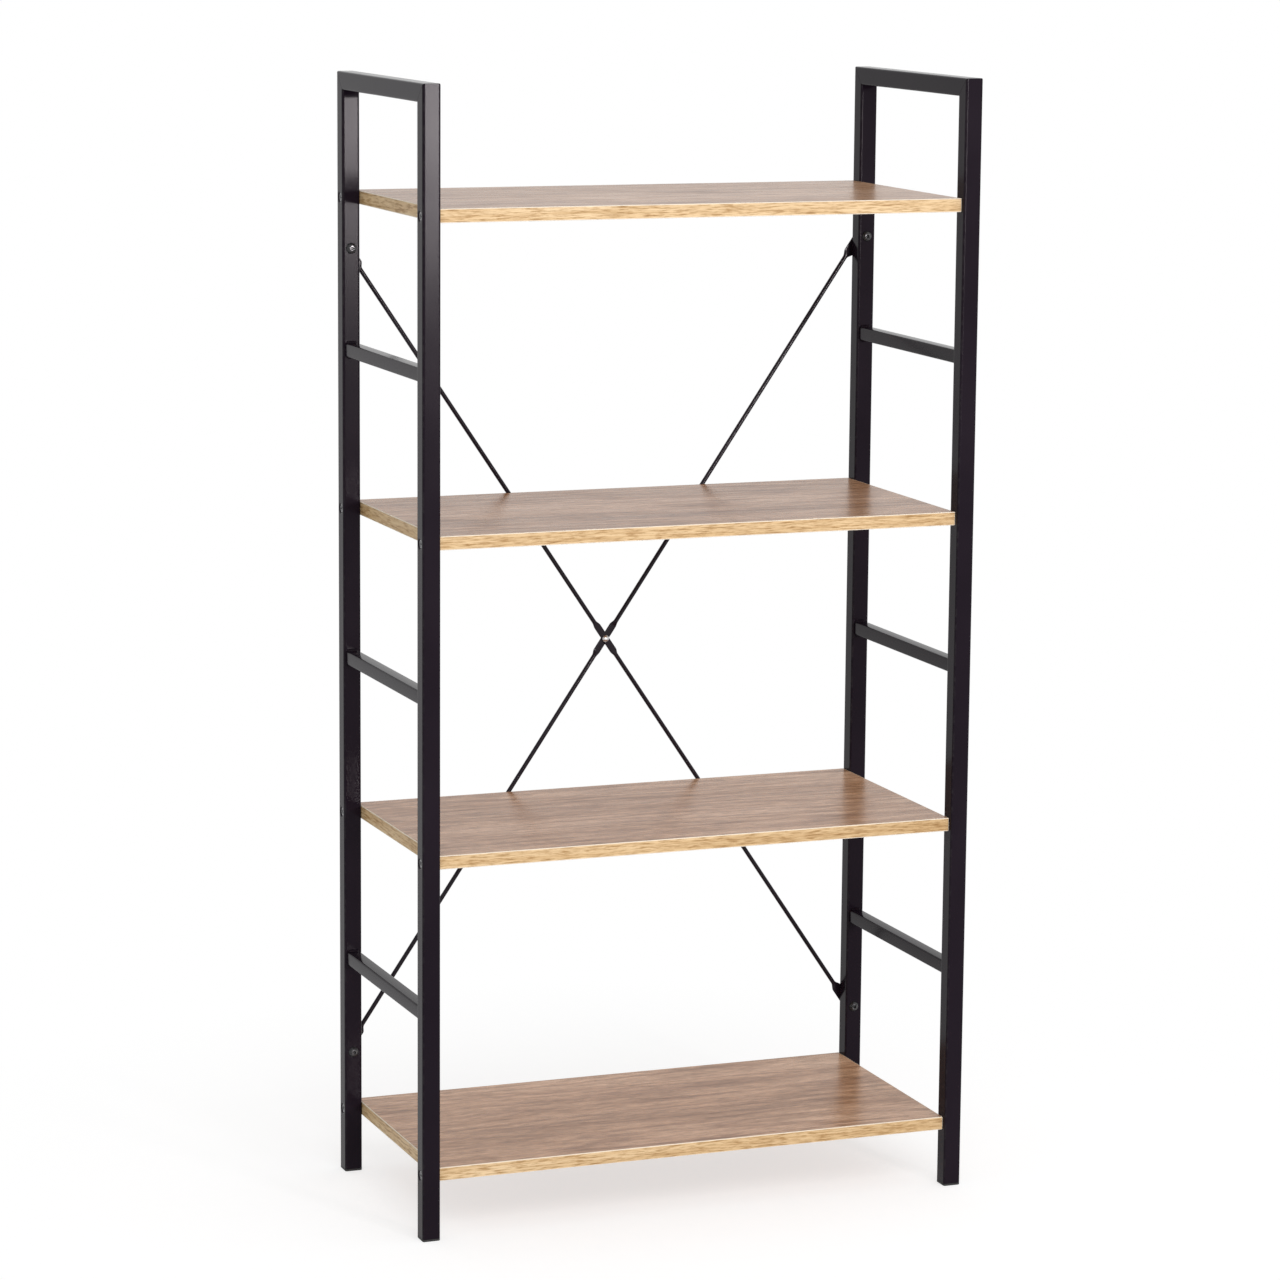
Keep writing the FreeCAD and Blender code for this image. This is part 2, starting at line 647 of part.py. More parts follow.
def brace_rivet():
    """Rivet through both pressed middles: domed head in front, upset head behind."""
    body = new_piece(
        "brace_centre_rivet",
        y=f"{REAR_FACE} + Size.rod_diameter / 2",
        z=f"({BRACE_LOW} + {BRACE_HIGH}) / 2",
    )
    thick = "Size.waist_thickness"
    top = f"({thick} + Size.rivet_crown)"
    head = disc(body, "head", "Size.rivet_head / 2", "Size.rivet_crown", start=top)
    doc.recompute()
    foremost = min(enumerate(head.Shape.Faces, start=1), key=lambda f: f[1].CenterOfMass.y)
    crown = body.newObject("PartDesign::Chamfer", "brace_centre_rivet_crown")
    crown.Base = (head, [f"Face{foremost[0]}"])
    crown.ChamferType = "Two distances"
    bind(crown, Size="Size.rivet_bevel", Size2="(Size.rivet_head - Size.rivet_flat) / 2")
    disc(body, "shank", "Size.rivet_diameter / 2", f"2 * {thick}", start=thick)
    tail = "Size.rivet_tail_height"
    disc(body, "tail", "Size.rivet_tail / 2", tail, start=f"-{thick}")


def brace_fasteners():
    """Four button-head bolts with washers and locking nuts, for the rods' ends."""
    low_left = {"x": f"-{UPRIGHT_X}", "y": f"{REAR_FACE} - Size.tube_size", "z": BRACE_LOW}
    across = ("X_Axis", f"2 * {UPRIGHT_X}", 2)
    shank = "Size.bolt_diameter / 2"

    bolts = new_piece("brace_bolts", **low_left)
    head = [
        ("0", "Size.bolt_head / 2"),
        ("Size.bolt_crown / 2", "Size.bolt_shoulder / 2"),
        ("Size.bolt_crown", "Size.bolt_flat / 2"),
    ]
    made = [
        taper(bolts, "AdditiveLoft", "head", "XZ_Plane", head),
        disc(bolts, "shank", shank, "Size.bolt_length"),
    ]
    doc.recompute()
    repeat(bolts, "four", made, "Z_Axis", BRACE_SPAN, 2, second=across)

    washers = new_piece("brace_washers", **low_left)
    seat = "(Size.tube_size + Size.tab_thickness)"
    ring_cut = new_sketch(washers, "ring", "XZ_Plane", out=f"-{seat}")
    polygon(ring_cut, "(Size.washer_diameter / 2)")
    polygon(ring_cut, BOLT_HOLE)
    washer = pad(washers, "washer", ring_cut, "Size.washer_thickness", backwards=True)
    repeat(washers, "four", [washer], "Z_Axis", BRACE_SPAN, 2, second=across)

    nuts = new_piece("brace_nuts", **low_left)
    face = f"({seat} + Size.washer_thickness)"
    block = new_sketch(nuts, "hexagon", "XZ_Plane", out=f"-{face}")
    polygon(block, "(Size.nut_flats / 2 / cos(30))", sides=HEX)
    end = f"-({face} + Size.nut_height)"
    tapped = new_sketch(nuts, "bore", "XZ_Plane")
    polygon(tapped, f"({shank} + Size.thread_play)")
    made = [
        pad(nuts, "block", block, "Size.nut_height", backwards=True),
        disc(nuts, "collar", "Size.collar_diameter / 2", "Size.collar_height", start=end),
        cut_through(nuts, "bored", tapped),
    ]
    doc.recompute()
    repeat(nuts, "four", made, "Z_Axis", BRACE_SPAN, 2, second=across)


# ---------------------------------------------------------------- the whole unit


for frame_side, frame_word in ((LEFT, "left"), (RIGHT, "right")):
    upright(f"front_{frame_word}_upright", frame_side, FRONT)
    upright(f"rear_{frame_word}_upright", frame_side, REAR)
    top_rail(f"{frame_word}_top_rail", frame_side)
    for bay in range(RUNGS):
        rung(f"{frame_word}_rung_{bay + 1}", frame_side, bay)
    frame_welds(f"{frame_word}_frame_welds", frame_side)
foot_plugs()
for shelf_index in range(SHELVES):
    shelf(shelf_index)
shelf_screws()
brace_rod("brace_rod_rising", rise=1, lap=1)
brace_rod("brace_rod_falling", rise=-1, lap=-1)
brace_rivet()
brace_fasteners()
doc.recompute()

failed = [item.Name for item in doc.Objects if {"Invalid", "Error"} & set(item.State)]
failed += [p.Label for p in pieces if p.Shape.isNull() or not p.Shape.isValid()]
if failed:
    raise RuntimeError(f"not built: {failed}")
os.makedirs("parts", exist_ok=True)
for piece in pieces:
    piece.Shape.exportStep(f"parts/{piece.Label}.step")
print(f"{len(pieces)} nodes, {sum(len(p.Shape.Solids) for p in pieces)} solids")
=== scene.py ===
# %% [markdown]
# # Four-tier shelving unit: two welded side frames, four oak boards and a cross of rods
#
# The solid parts come in first and never move. Everything that is made below is fitted
# round them: a finer skin for every part but the boards, a finish for each material, a
# floor, some light and a camera. All lengths are in metres, as in Blender.

# %% Tools and the solid parts
import math

import bmesh
import bpy
import numpy as np
from mathutils import Matrix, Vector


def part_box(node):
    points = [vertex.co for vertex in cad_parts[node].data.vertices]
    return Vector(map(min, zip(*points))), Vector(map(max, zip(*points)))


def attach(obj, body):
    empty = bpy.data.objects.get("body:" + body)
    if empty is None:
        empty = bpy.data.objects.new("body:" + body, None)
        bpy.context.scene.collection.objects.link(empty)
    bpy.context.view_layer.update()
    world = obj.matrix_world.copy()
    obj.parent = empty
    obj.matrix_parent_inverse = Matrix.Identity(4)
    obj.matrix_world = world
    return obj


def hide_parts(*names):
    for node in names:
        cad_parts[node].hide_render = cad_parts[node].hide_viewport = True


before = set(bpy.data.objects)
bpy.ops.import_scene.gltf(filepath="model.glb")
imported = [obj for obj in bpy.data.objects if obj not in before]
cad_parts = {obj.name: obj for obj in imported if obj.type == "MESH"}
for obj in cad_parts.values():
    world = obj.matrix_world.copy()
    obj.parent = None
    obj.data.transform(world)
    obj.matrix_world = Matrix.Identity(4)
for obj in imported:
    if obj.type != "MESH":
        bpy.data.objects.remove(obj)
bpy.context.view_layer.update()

# %% [markdown]
# ## Places that the pieces share
#
# The places are read from the solid parts, so that a skin always fits its part. Only
# sizes that a box can't tell, such as a corner's radius, are written in the cells below.

# %% Shared places
MM = 0.001
LEFT, RIGHT = -1, 1
FRONT, REAR = -1, 1
SIDES = ((LEFT, "left"), (RIGHT, "right"))
ENDS = ((FRONT, "front"), (REAR, "rear"))


def box(name):
    """Lowest and highest corner of a solid part, as two arrays."""
    return tuple(np.array(corner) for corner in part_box(name))


def middle(name):
    """Middle of a solid part's box."""
    return sum(box(name)) / 2


def size(name):
    """Width, depth and height of a solid part."""
    return np.ptp(box(name), axis=0)


BOARD_NUMBERS = (1, 2, 3, 4)
BOARDS = [f"shelf_{number}_board" for number in BOARD_NUMBERS]
TUBE = float(size("front_left_upright")[0])
SCREW_LEVELS = np.array([middle(board)[2] for board in BOARDS])
UPRIGHT_ROWS = [middle(f"{word}_left_upright")[1] for _, word in ENDS]
UPRIGHT_X = middle("front_right_upright")[0]
REAR_UPRIGHT_FRONT, REAR_UPRIGHT_BACK = (corner[1] for corner in box("rear_left_upright"))
print(f"tube {TUBE / MM:.1f} mm, screws at", SCREW_LEVELS.round(4))

# %% [markdown]
# ## From a grid of points to a mesh
#
# Nearly every piece here is a surface that closes round an axis: a tube, a bolt, a plug.
# Such a surface is a grid. Its columns go once round the form and its rows go along it.
# Blender could make some of them with modifiers, but a grid that is worked out with numpy
# says exactly where each point lies. A row whose points all fall together closes an end.

# %% Closing a grid and laying it in place
def closed(rows):
    """The rows with one more at each end, where all points fall on the end's middle."""
    ends = [np.broadcast_to(rows[i].mean(axis=0), rows[i].shape)[None] for i in (0, -1)]
    return np.concatenate([ends[0], rows, ends[1]])


def placed(grid, origin, axes):
    """The grid with its three own axes laid along the given directions, from an origin."""
    return np.asarray(origin, float) + grid @ np.array(axes, float)


# %% [markdown]
# ## One mesh for each piece
#
# Each point of a grid is joined to the next one in its row and to the two below them. Then
# the points that fall together are merged, which closes the skin. Edges that turn by more
# than an angle stay sharp, so a rim is crisp while the round beside it is smooth.

# %% One mesh from many grids
SAME_POINT = 0.002 * MM
SHARP_ANGLE = math.radians(34)


def new_object(name, data):
    """An object with its mesh, lamp or camera, linked into the scene."""
    thing = bpy.data.objects.new(name, data)
    bpy.context.scene.collection.objects.link(thing)
    return thing


def make_piece(name, grids, finish, slot, *nodes):
    """One mesh object from pairs of a grid of points and its rub map.

    The rub map, 0 to 1, says where hands and cartons wear the finish. On the edging
    strips it marks the milled arris, whose cream is also a painted highlight. It becomes
    an attribute of the mesh that the materials read.
    """
    corners, faces, rubs, start = [], [], [], 0
    for points, rub in grids:
        rows, columns = points.shape[:2]
        index = start + np.arange(rows * columns).reshape(rows, columns)
        beside = np.roll(index, -1, axis=1)
        quads = np.stack([index[:-1], beside[:-1], beside[1:], index[1:]], axis=-1)
        faces.append(quads.reshape(-1, 4))
        corners.append(points.reshape(-1, 3))
        rubs.append(np.broadcast_to(rub, (rows, columns)).ravel())
        start += rows * columns
    mesh = bpy.data.meshes.new(name)
    mesh.from_pydata(np.concatenate(corners).tolist(), [], np.concatenate(faces).tolist())
    worn = mesh.attributes.new("rub", "FLOAT", "POINT")
    worn.data.foreach_set("value", np.concatenate(rubs).astype(np.float32))
    work = bmesh.new()
    work.from_mesh(mesh)
    bmesh.ops.remove_doubles(work, verts=work.verts, dist=SAME_POINT)
    bmesh.ops.recalc_face_normals(work, faces=work.faces)
    work.to_mesh(mesh)
    work.free()
    mesh.shade_smooth()
    mesh.set_sharp_from_angle(angle=SHARP_ANGLE)
    mesh.materials.append(finish)
    piece = new_object(name, mesh)
    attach(piece, "root")
    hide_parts(*nodes)
    print(f"{name}: {len(mesh.vertices)} points, {len(mesh.polygons)} faces")


# %% [markdown]
# ## Outlines
#
# Square tube, plugs and edging strips all have the same outline, a rectangle with round
# corners. It is four quarter circles with straight runs between them. A Bevel modifier
# could round a plain bar too, but it has no say in where the points of the flats lie.

# %% Rounded rectangles
LEAST_CORNER = 0.2 * MM
CORNER_STEPS = 7


def rounded_rectangle(width, height, corner, across=1):
    """Points round a rectangle with round corners, and how near each is to a crown.

    Each corner is a quarter circle about a centre that lies the corner's radius inside
    both sides. Between two corners lie `across` equal steps. The rub is the sine of twice
    the angle turned, so it is 1 half way round the corner and 0 on the flats.
    """
    reach = np.array([width, height]) / 2 - corner
    sign = np.array([[1, 1], [-1, 1], [-1, -1], [1, -1]])
    turn = np.linspace(0, math.pi / 2, CORNER_STEPS)
    angle = np.arange(4)[:, None] * math.pi / 2 + turn
    arcs = (sign * reach)[:, None] + corner * np.stack([np.cos(angle), np.sin(angle)], -1)
    share = np.linspace(0, 1, across + 1)[1:-1, None]
    flats = arcs[:, -1:] * (1 - share) + np.roll(arcs, -1, axis=0)[:, :1] * share
    points = np.concatenate([arcs, flats], axis=1).reshape(-1, 2)
    rub = np.tile(np.append(np.sin(2 * turn), np.zeros(across - 1)), 4)
    return points, rub


def lifted(outline, level):
    """The outline's points, all raised to one level or each to its own."""
    return np.column_stack([outline, np.broadcast_to(level, len(outline))])


def stacked(width, height, corner, stations):
    """Rounded rectangles one above the other, each given as its inset, level and rub."""
    rows, rubs = [], []
    for inset, level, rub in stations:
        radius = max(corner - inset, LEAST_CORNER)
        points, _ = rounded_rectangle(width - 2 * inset, height - 2 * inset, radius)
        rows.append(lifted(points, level))
        rubs.append(rub)
    return closed(np.array(rows)), np.pad(rubs, 1)[:, None]


print("points round a tube:", len(rounded_rectangle(TUBE, TUBE, LEAST_CORNER)[0]))

# %% [markdown]
# ## Turned pieces
#
# Screws, bolts, nuts and rivets are round about an axis, so each is a profile turned about
# it. A Screw modifier would do for the plain ones. Here the radius may also change with the
# angle, for a hexagon, or climb with each turn, for a thread.

# %% Turned profiles
def angles(around):
    """Equal angles once round."""
    return np.arange(around) * 2 * math.pi / around


def turned(stations, around):
    """A profile turned about the third axis, each station a radius, level and rub.

    Radius and level may be one number, or an array with a value for each angle.
    """
    angle = angles(around)
    radius, level, rub = (
        np.array([np.broadcast_to(station[part], around) for station in stations])
        for part in range(3)
    )
    return np.stack([radius * np.cos(angle), radius * np.sin(angle), level], -1), rub


def hexagon(flats, around):
    """Distance from the middle to a hexagon's outline, at equal angles.

    It is half the width across flats over the cosine of the angle from the middle of the
    nearest flat.
    """
    sixth = math.pi / 3
    return flats / 2 / np.cos((angles(around) + sixth / 2) % sixth - sixth / 2)


def thread(core, height, pitch, levels, around):
    """Stations of a screw thread: its ridge climbs one pitch for each turn.

    Where the level, counted in pitches and less the share of a turn, is a whole number,
    the radius is the core's. Half a pitch on it has grown by the ridge's height.
    """
    phase = (levels[:, None] / pitch - angles(around) / (2 * math.pi)) % 1
    radii = core + height * (1 - np.abs(2 * phase - 1))
    return [(radius, level, 0) for radius, level in zip(radii, levels)]


print(f"corner of a 10 mm hexagon: {hexagon(10, 12).max():.2f} mm from its middle")

# %% [markdown]
# ## Materials: the shader and its nodes
#
# A material is a chain of nodes that ends in the Principled shader. What is the same all
# over is set on the shader's own sockets, and the rest is led into them. The gloss is the
# plain GGX kind, which gives back a little less light at a flat angle when it is rough.

# %% Shaders, nodes and sockets
def feed(finish, socket, value):
    """Join another node's output to a socket, or write a plain value into it."""
    if isinstance(value, bpy.types.NodeSocket):
        finish.node_tree.links.new(value, socket)
    else:
        socket.default_value = value


def join(finish, shader, **sockets):
    """Feed several of the shader's sockets by their names."""
    for name, value in sockets.items():
        feed(finish, shader.inputs[name.replace("_", " ")], value)


def new_finish(name, **surface):
    """A material whose Principled shader has the given values on its own sockets."""
    finish = bpy.data.materials.new(name)
    finish.use_nodes = True
    shader = finish.node_tree.nodes["Principled BSDF"]
    shader.distribution = "GGX"
    join(finish, shader, **surface)
    print("finish:", name, surface)
    return finish, shader


def add_node(finish, kind, inputs, **settings):
    """A node with its settings and with its inputs fed, by their names or numbers."""
    node = finish.node_tree.nodes.new(f"ShaderNode{kind}")
    for name, value in settings.items():
        setattr(node, name, value)
    for name, value in inputs.items():
        feed(finish, node.inputs[name], value)
    return node


# %% [markdown]
# ## Materials: textures and colours
#
# What changes from place to place is a texture. Most are noises, read at the Object
# coordinates, which are metres here and don't slide. A ramp turns a noise into colours, and
# mixing lays one over another. A pattern that is worked out like this has no edge or seam.

# %% Places, textures and colours
def places(finish, scale=(1, 1, 1)):
    """Object coordinates, stretched for a texture."""
    here = add_node(finish, "TexCoord", {}).outputs["Object"]
    return add_node(finish, "Mapping", {"Vector": here, "Scale": scale}).outputs["Vector"]


def noise(finish, place, scale, detail=3.0, roughness=0.5):
    """Cloudy pattern, about 0.5 on average."""
    inputs = {"Vector": place, "Scale": scale, "Detail": detail, "Roughness": roughness}
    return add_node(finish, "TexNoise", inputs).outputs["Fac"]


def ramp(finish, factor, *stops):
    """Colour for each value of a factor, from stops of a position and a colour."""
    node = add_node(finish, "ValToRGB", {"Fac": factor})
    elements = node.color_ramp.elements
    while len(elements) < len(stops):
        elements.new(0.5)
    for element, (position, colour) in zip(elements, stops):
        element.position = position
        element.color = (*colour, 1)
    return node.outputs["Color"]


def spread(finish, value, low, high, to_low, to_high):
    """The value's range from low to high, carried over to another range."""
    inputs = {"Value": value, "From Min": low, "From Max": high, "To Min": to_low, "To Max": to_high}
    return add_node(finish, "MapRange", inputs).outputs["Result"]


def sum_node(finish, operation, *values):
    """Result of one sum on one or two values."""
    return add_node(finish, "Math", dict(enumerate(values)), operation=operation).outputs["Value"]


def times(finish, first, second):
    """Product of two values."""
    return sum_node(finish, "MULTIPLY", first, second)


def blend(finish, factor, first, second, way="MIX"):
    """Mix of two colours by a factor. Sockets 6 and 7 are the Mix node's two colours."""
    inputs = {0: factor, 6: first, 7: second}
    return add_node(finish, "Mix", inputs, data_type="RGBA", blend_type=way).outputs[2]


def rubbed(finish, amount):
    """The mesh's own rub map, times an amount."""
    rub = add_node(finish, "Attribute", {}, attribute_name="rub").outputs["Fac"]
    return times(finish, rub, amount)


def relief(finish, shader, height, depth):
    """Let a height pattern of the given depth tilt the shader's normal."""
    bump = add_node(finish, "Bump", {"Height": height, "Distance": depth, "Strength": 1.0})
    join(finish, shader, Normal=bump.outputs["Normal"])


# %% [markdown]
# ## Finish: black powder coat
#
# The frames are sprayed with powder that melts in an oven. It flows into a skin that is
# nearly smooth, with the fine waves of an orange's peel. A bump pattern of about a
# millimetre gives those waves. The corners of the tube are rubbed a little brighter. The
# crossed rods are dipped instead of sprayed, so theirs is thinner, smoother and glossier.

# %% Black powder coat
def make_black_coat(name, peel_depth, specular):
    """Near-black, semi-gloss, with orange peel and slightly rubbed corners."""
    finish, shader = new_finish(name, Specular_IOR_Level=specular)
    here = places(finish)
    peel = noise(finish, here, 620, detail=2)
    cloud = noise(finish, here, 9, detail=4)
    tone = ramp(finish, cloud, (0.3, (0.0100, 0.0062, 0.0108)), (0.7, (0.0142, 0.0092, 0.0150)))
    grit = spread(finish, noise(finish, here, 140, detail=5), 0.46, 0.66, 0, 1)
    wear = rubbed(finish, grit)
    worn = blend(finish, wear, tone, (0.022, 0.018, 0.022, 1))
    gloss = spread(finish, cloud, 0.3, 0.7, 0.15, 0.19)
    join(finish, shader, Base_Color=worn, Roughness=gloss)
    relief(finish, shader, peel, peel_depth)
    return finish


POWDER_COAT = make_black_coat("black_powder_coat", 0.007 * MM, 0.062)
ROD_COAT = make_black_coat("black_rod_coat", 0.001 * MM, 0.18)

# %% [markdown]
# ## Finish: oak laminate
#
# The boards are chipboard with printed oak paper under clear resin. The print has broad
# bands that wander along the board, the nested arches of a log that was sawn off its
# middle, streaks, short strokes and fine dark pores. Each is a noise that is stretched
# along the board, the X axis. The arches are contour lines: the sine of a noise that is
# counted many times over. The resin is smooth and catches a sheen, so the roughness is low
# and the bump is slight.

# %% Oak laminate
ARCHES = 11
ALONG_X, ALONG_Y = 0, 1
PLAIN = (1.0, 1.0, 1.0)


def oak_grain(finish, run, fineness=1.0):
    """Bands, arches, streaks, strokes and pores of oak that run along one of the axes.

    Each takes how often it changes in a metre along the run and across it. A higher
    fineness narrows them all and leaves their length.
    """

    def grain(along, across, detail, roughness):
        scale = [across * fineness] * 3
        scale[run] = along
        return noise(finish, places(finish, scale), 1, detail, roughness)

    bands = grain(1.0, 11, 3, 0.55)
    height = times(finish, grain(1.2, 12, 2, 0.4), 2 * math.pi * ARCHES)
    arches = sum_node(finish, "SINE", height)
    streaks = grain(10, 95, 4, 0.6)
    strokes = grain(55, 230, 4, 0.65)
    pores = grain(48, 1150, 2, 0.5)
    return bands, arches, streaks, strokes, pores


def stained(finish, wood, pattern, amount, *stops):
    """The wood's colour multiplied by a pattern's colour, as strongly as the amount."""
    return blend(finish, amount, wood, ramp(finish, pattern, *stops), "MULTIPLY")


def make_oak_laminate():
    """Golden-brown oak print under clear, satin resin."""
    finish, shader = new_finish("oak_laminate", Specular_IOR_Level=0.17)
    bands, arches, streaks, strokes, pores = oak_grain(finish, ALONG_X)
    dark, usual, light = (0.478, 0.272, 0.152), (0.655, 0.400, 0.244), (0.790, 0.525, 0.354)
    wood = ramp(finish, bands, (0.28, dark), (0.50, usual), (0.72, light))
    wood = stained(finish, wood, arches, 0.8, (0.1, PLAIN), (0.95, (0.72, 0.65, 0.60)))
    wood = stained(finish, wood, streaks, 1.0, (0.30, (0.66, 0.60, 0.56)), (0.58, PLAIN))
    wood = stained(finish, wood, strokes, 1.0, (0.32, (0.64, 0.57, 0.50)), (0.66, (1.12, 1.11, 1.10)))
    wood = stained(finish, wood, pores, 0.8, (0.30, (0.62, 0.55, 0.48)), (0.40, PLAIN))
    gloss = spread(finish, streaks, 0.3, 0.7, 0.32, 0.24)
    join(finish, shader, Base_Color=wood, Roughness=gloss)
    relief(finish, shader, pores, 0.02 * MM)
    return finish


OAK_LAMINATE = make_oak_laminate()

# %% [markdown]
# ## Finish: oak edging
#
# The edges of the boards are covered with a glued strip, printed lighter than the tops.
# Where the strip was milled round, its plain cream core shows as a thin bright line. The
# cream is painted lighter than the core, as a painted highlight of the round arris. The
# grain runs along the strip, which is the Y axis for the strips at the boards' ends.

# %% Oak edging
def make_oak_edging(name, run):
    """Light oak print with a cream arris, cut round and lightened as a painted highlight."""
    finish, shader = new_finish(name, Specular_IOR_Level=0.15)
    bands, arches, streaks, strokes, pores = oak_grain(finish, run, 2.6)
    dark, usual, light = (0.650, 0.455, 0.240), (0.775, 0.570, 0.325), (0.850, 0.655, 0.405)
    wood = ramp(finish, bands, (0.28, dark), (0.50, usual), (0.72, light))
    wood = stained(finish, wood, arches, 0.35, (0.1, PLAIN), (0.95, (0.78, 0.68, 0.54)))
    wood = stained(finish, wood, streaks, 0.7, (0.30, (0.74, 0.66, 0.54)), (0.52, PLAIN))
    wood = stained(finish, wood, strokes, 1.0, (0.36, (0.56, 0.45, 0.32)), (0.54, PLAIN))
    wood = stained(finish, wood, pores, 0.7, (0.32, (0.60, 0.50, 0.38)), (0.42, PLAIN))
    # The arris shows the cream core, lightened beyond it as a painted highlight.
    cream_arris_with_painted_highlight = blend(finish, rubbed(finish, 0.9), wood, (0.93, 0.84, 0.70, 1))
    join(finish, shader, Base_Color=cream_arris_with_painted_highlight, Roughness=spread(finish, streaks, 0.3, 0.7, 0.5, 0.38))
    relief(finish, shader, strokes, 0.03 * MM)
    return finish


OAK_EDGING = make_oak_edging("oak_edging", ALONG_X)
OAK_END_EDGING = make_oak_edging("oak_end_edging", ALONG_Y)

# %% [markdown]
# ## Finish: black plastic
#
# The plugs in the feet are moulded. Their skin has the fine grain of a spark-eroded
# mould, and the floor scuffs the underside grey. The scuffs could be painted by hand, but
# the rub map and a noise place them by themselves.

# %% Black plastic
def make_black_plastic():
    """Matt moulded plastic, grey where it is scuffed."""
    finish, shader = new_finish("black_plastic", Specular_IOR_Level=0.4)
    here = places(finish)
    grain = noise(finish, here, 2400, detail=2)
    scuffs = spread(finish, noise(finish, here, 420, detail=6, roughness=0.7), 0.5, 0.7, 0, 1)
    wear = rubbed(finish, scuffs)
    tone = ramp(finish, noise(finish, here, 60), (0.3, (0.012,) * 3), (0.7, (0.020,) * 3))
    worn = blend(finish, wear, tone, (0.07, 0.068, 0.065, 1))
    join(finish, shader, Base_Color=worn, Roughness=spread(finish, grain, 0.3, 0.7, 0.55, 0.7))
    relief(finish, shader, grain, 0.02 * MM)
    return finish


BLACK_PLASTIC = make_black_plastic()

# %% [markdown]
# ## Finish: black fasteners
#
# The shelf screws and the bolts are blackened steel. They are smoother than the powder
# coat, so they catch small bright highlights, and the driver leaves bare metal on the
# edges of its recess.

# %% Black fasteners
def make_black_steel():
    """Blackened steel, metal-bright where the driver has rubbed."""
    finish, shader = new_finish("black_fasteners", Specular_IOR_Level=0.25)
    here = places(finish)
    turning = noise(finish, here, 900, detail=4, roughness=0.6)
    wear = rubbed(finish, spread(finish, turning, 0.42, 0.62, 0, 1))
    tone = ramp(finish, turning, (0.3, (0.010, 0.010, 0.011)), (0.7, (0.020, 0.020, 0.022)))
    worn = blend(finish, wear, tone, (0.30, 0.30, 0.31, 1))
    gloss = spread(finish, turning, 0.3, 0.7, 0.14, 0.22)
    join(finish, shader, Base_Color=worn, Metallic=wear, Roughness=gloss)
    relief(finish, shader, turning, 0.01 * MM)
    return finish


BLACK_STEEL = make_black_steel()

# %% [markdown]
# ## Finish: bright zinc plate
#
# Washers, nuts and the rivet are zinc-plated. Zinc grows in small crystals, so its shine
# is broken up by a cell pattern, and it turns a little yellow and blue in places.

# %% Zinc plate
def make_zinc():
    """Bright metal with small crystals and a faint tint."""
    finish, shader = new_finish("zinc_plated_steel", Metallic=1.0)
    here = places(finish)
    crystals = add_node(finish, "TexVoronoi", {"Vector": here, "Scale": 2600.0})
    tint = noise(finish, here, 260, detail=3)
    bluish, clear, yellowish = (0.66, 0.67, 0.71), (0.74, 0.74, 0.74), (0.73, 0.70, 0.62)
    tone = ramp(finish, tint, (0.30, bluish), (0.50, clear), (0.70, yellowish))
    dulled = blend(finish, rubbed(finish, 0.35), tone, (0.42, 0.41, 0.39, 1))
    gloss = spread(finish, crystals.outputs["Distance"], 0.0, 0.6, 0.2, 0.36)
    join(finish, shader, Base_Color=dulled, Roughness=gloss)
    relief(finish, shader, crystals.outputs["Distance"], 0.01 * MM)
    return finish


ZINC = make_zinc()

# %% [markdown]
# ## The uprights
#
# Each upright is square tube. At every board its outer wall is pressed in as a dimple,
# so that the screw's head lies below the surface. A boolean would cut a dimple with a
# hard rim, but pressed steel flows: the wall bends over a soft lip. So the outer face
# gets a fine grid round each screw, and its points are pushed inwards by a smooth
# function of their distance from the screw. At the top the tube is cut at 45 degrees to
# meet the rail. The last row is drawn in by a hair, which leaves the fine line that shows
# where the two tubes were welded and ground.

# %% Uprights
TUBE_CORNER = 2.2 * MM
FACE_STEPS = 22
DIMPLE_LIP = 6.9 * MM
DIMPLE_FLOOR = 2.4 * MM
DIMPLE_DEPTH = 2.6 * MM
DIMPLE_STEPS = 21
SEAM = 0.25 * MM
DRAWN_IN = 1 - 2 * SEAM / TUBE
BELOW_MITRE = 1.5 * TUBE


def dimple_depth(distance):
    """How far the wall is pressed in, at a distance from the screw's axis.

    The share t of the way from the lip to the floor runs from 0 to 1. Taking away
    sin(2 pi t) / (2 pi) rounds the slope off at both of its ends.
    """
    share = np.clip((DIMPLE_LIP - distance) / (DIMPLE_LIP - DIMPLE_FLOOR), 0, 1)
    return DIMPLE_DEPTH * (share - np.sin(2 * math.pi * share) / (2 * math.pi))


def upright(node, side, end):
    """Grid of an upright: its outline at each level, dimpled, and mitred at the top."""
    low, high = box(node)
    outline, rub = rounded_rectangle(TUBE, TUBE, TUBE_CORNER, across=FACE_STEPS)
    near = np.linspace(-DIMPLE_LIP, DIMPLE_LIP, DIMPLE_STEPS)
    around_screws = (SCREW_LEVELS[:, None] + near).ravel()
    levels = np.concatenate([[low[2] + SEAM], around_screws, [high[2] - BELOW_MITRE]])
    shaft = np.empty((len(levels), len(outline), 3))
    shaft[..., :2] = outline
    shaft[..., 2] = levels[:, None]

    to_screw = np.abs(levels[:, None] - SCREW_LEVELS).min(axis=1)
    distance = np.hypot(outline[:, 1], to_screw[:, None])
    outer_face = side * outline[:, 0] > TUBE / 2 - SAME_POINT
    shaft[..., 0] -= side * outer_face * dimple_depth(distance)

    corner = high[2] - TUBE / 2
    foot = lifted(outline * DRAWN_IN, low[2])
    mitre = lifted(outline, corner + end * outline[:, 1] - SEAM)
    seam = lifted(outline * DRAWN_IN, corner + end * outline[:, 1] * DRAWN_IN)
    grid = closed(np.concatenate([foot[None], shaft, mitre[None], seam[None]]))
    grid[..., :2] += middle(node)[:2]
    return grid, rub


for side, side_word in SIDES:
    for end, end_word in ENDS:
        node = f"{end_word}_{side_word}_upright"
        name = f"upright_{end_word}_{side_word}"
        make_piece(name, [upright(node, side, end)], POWDER_COAT, "black_powder_coat", node)

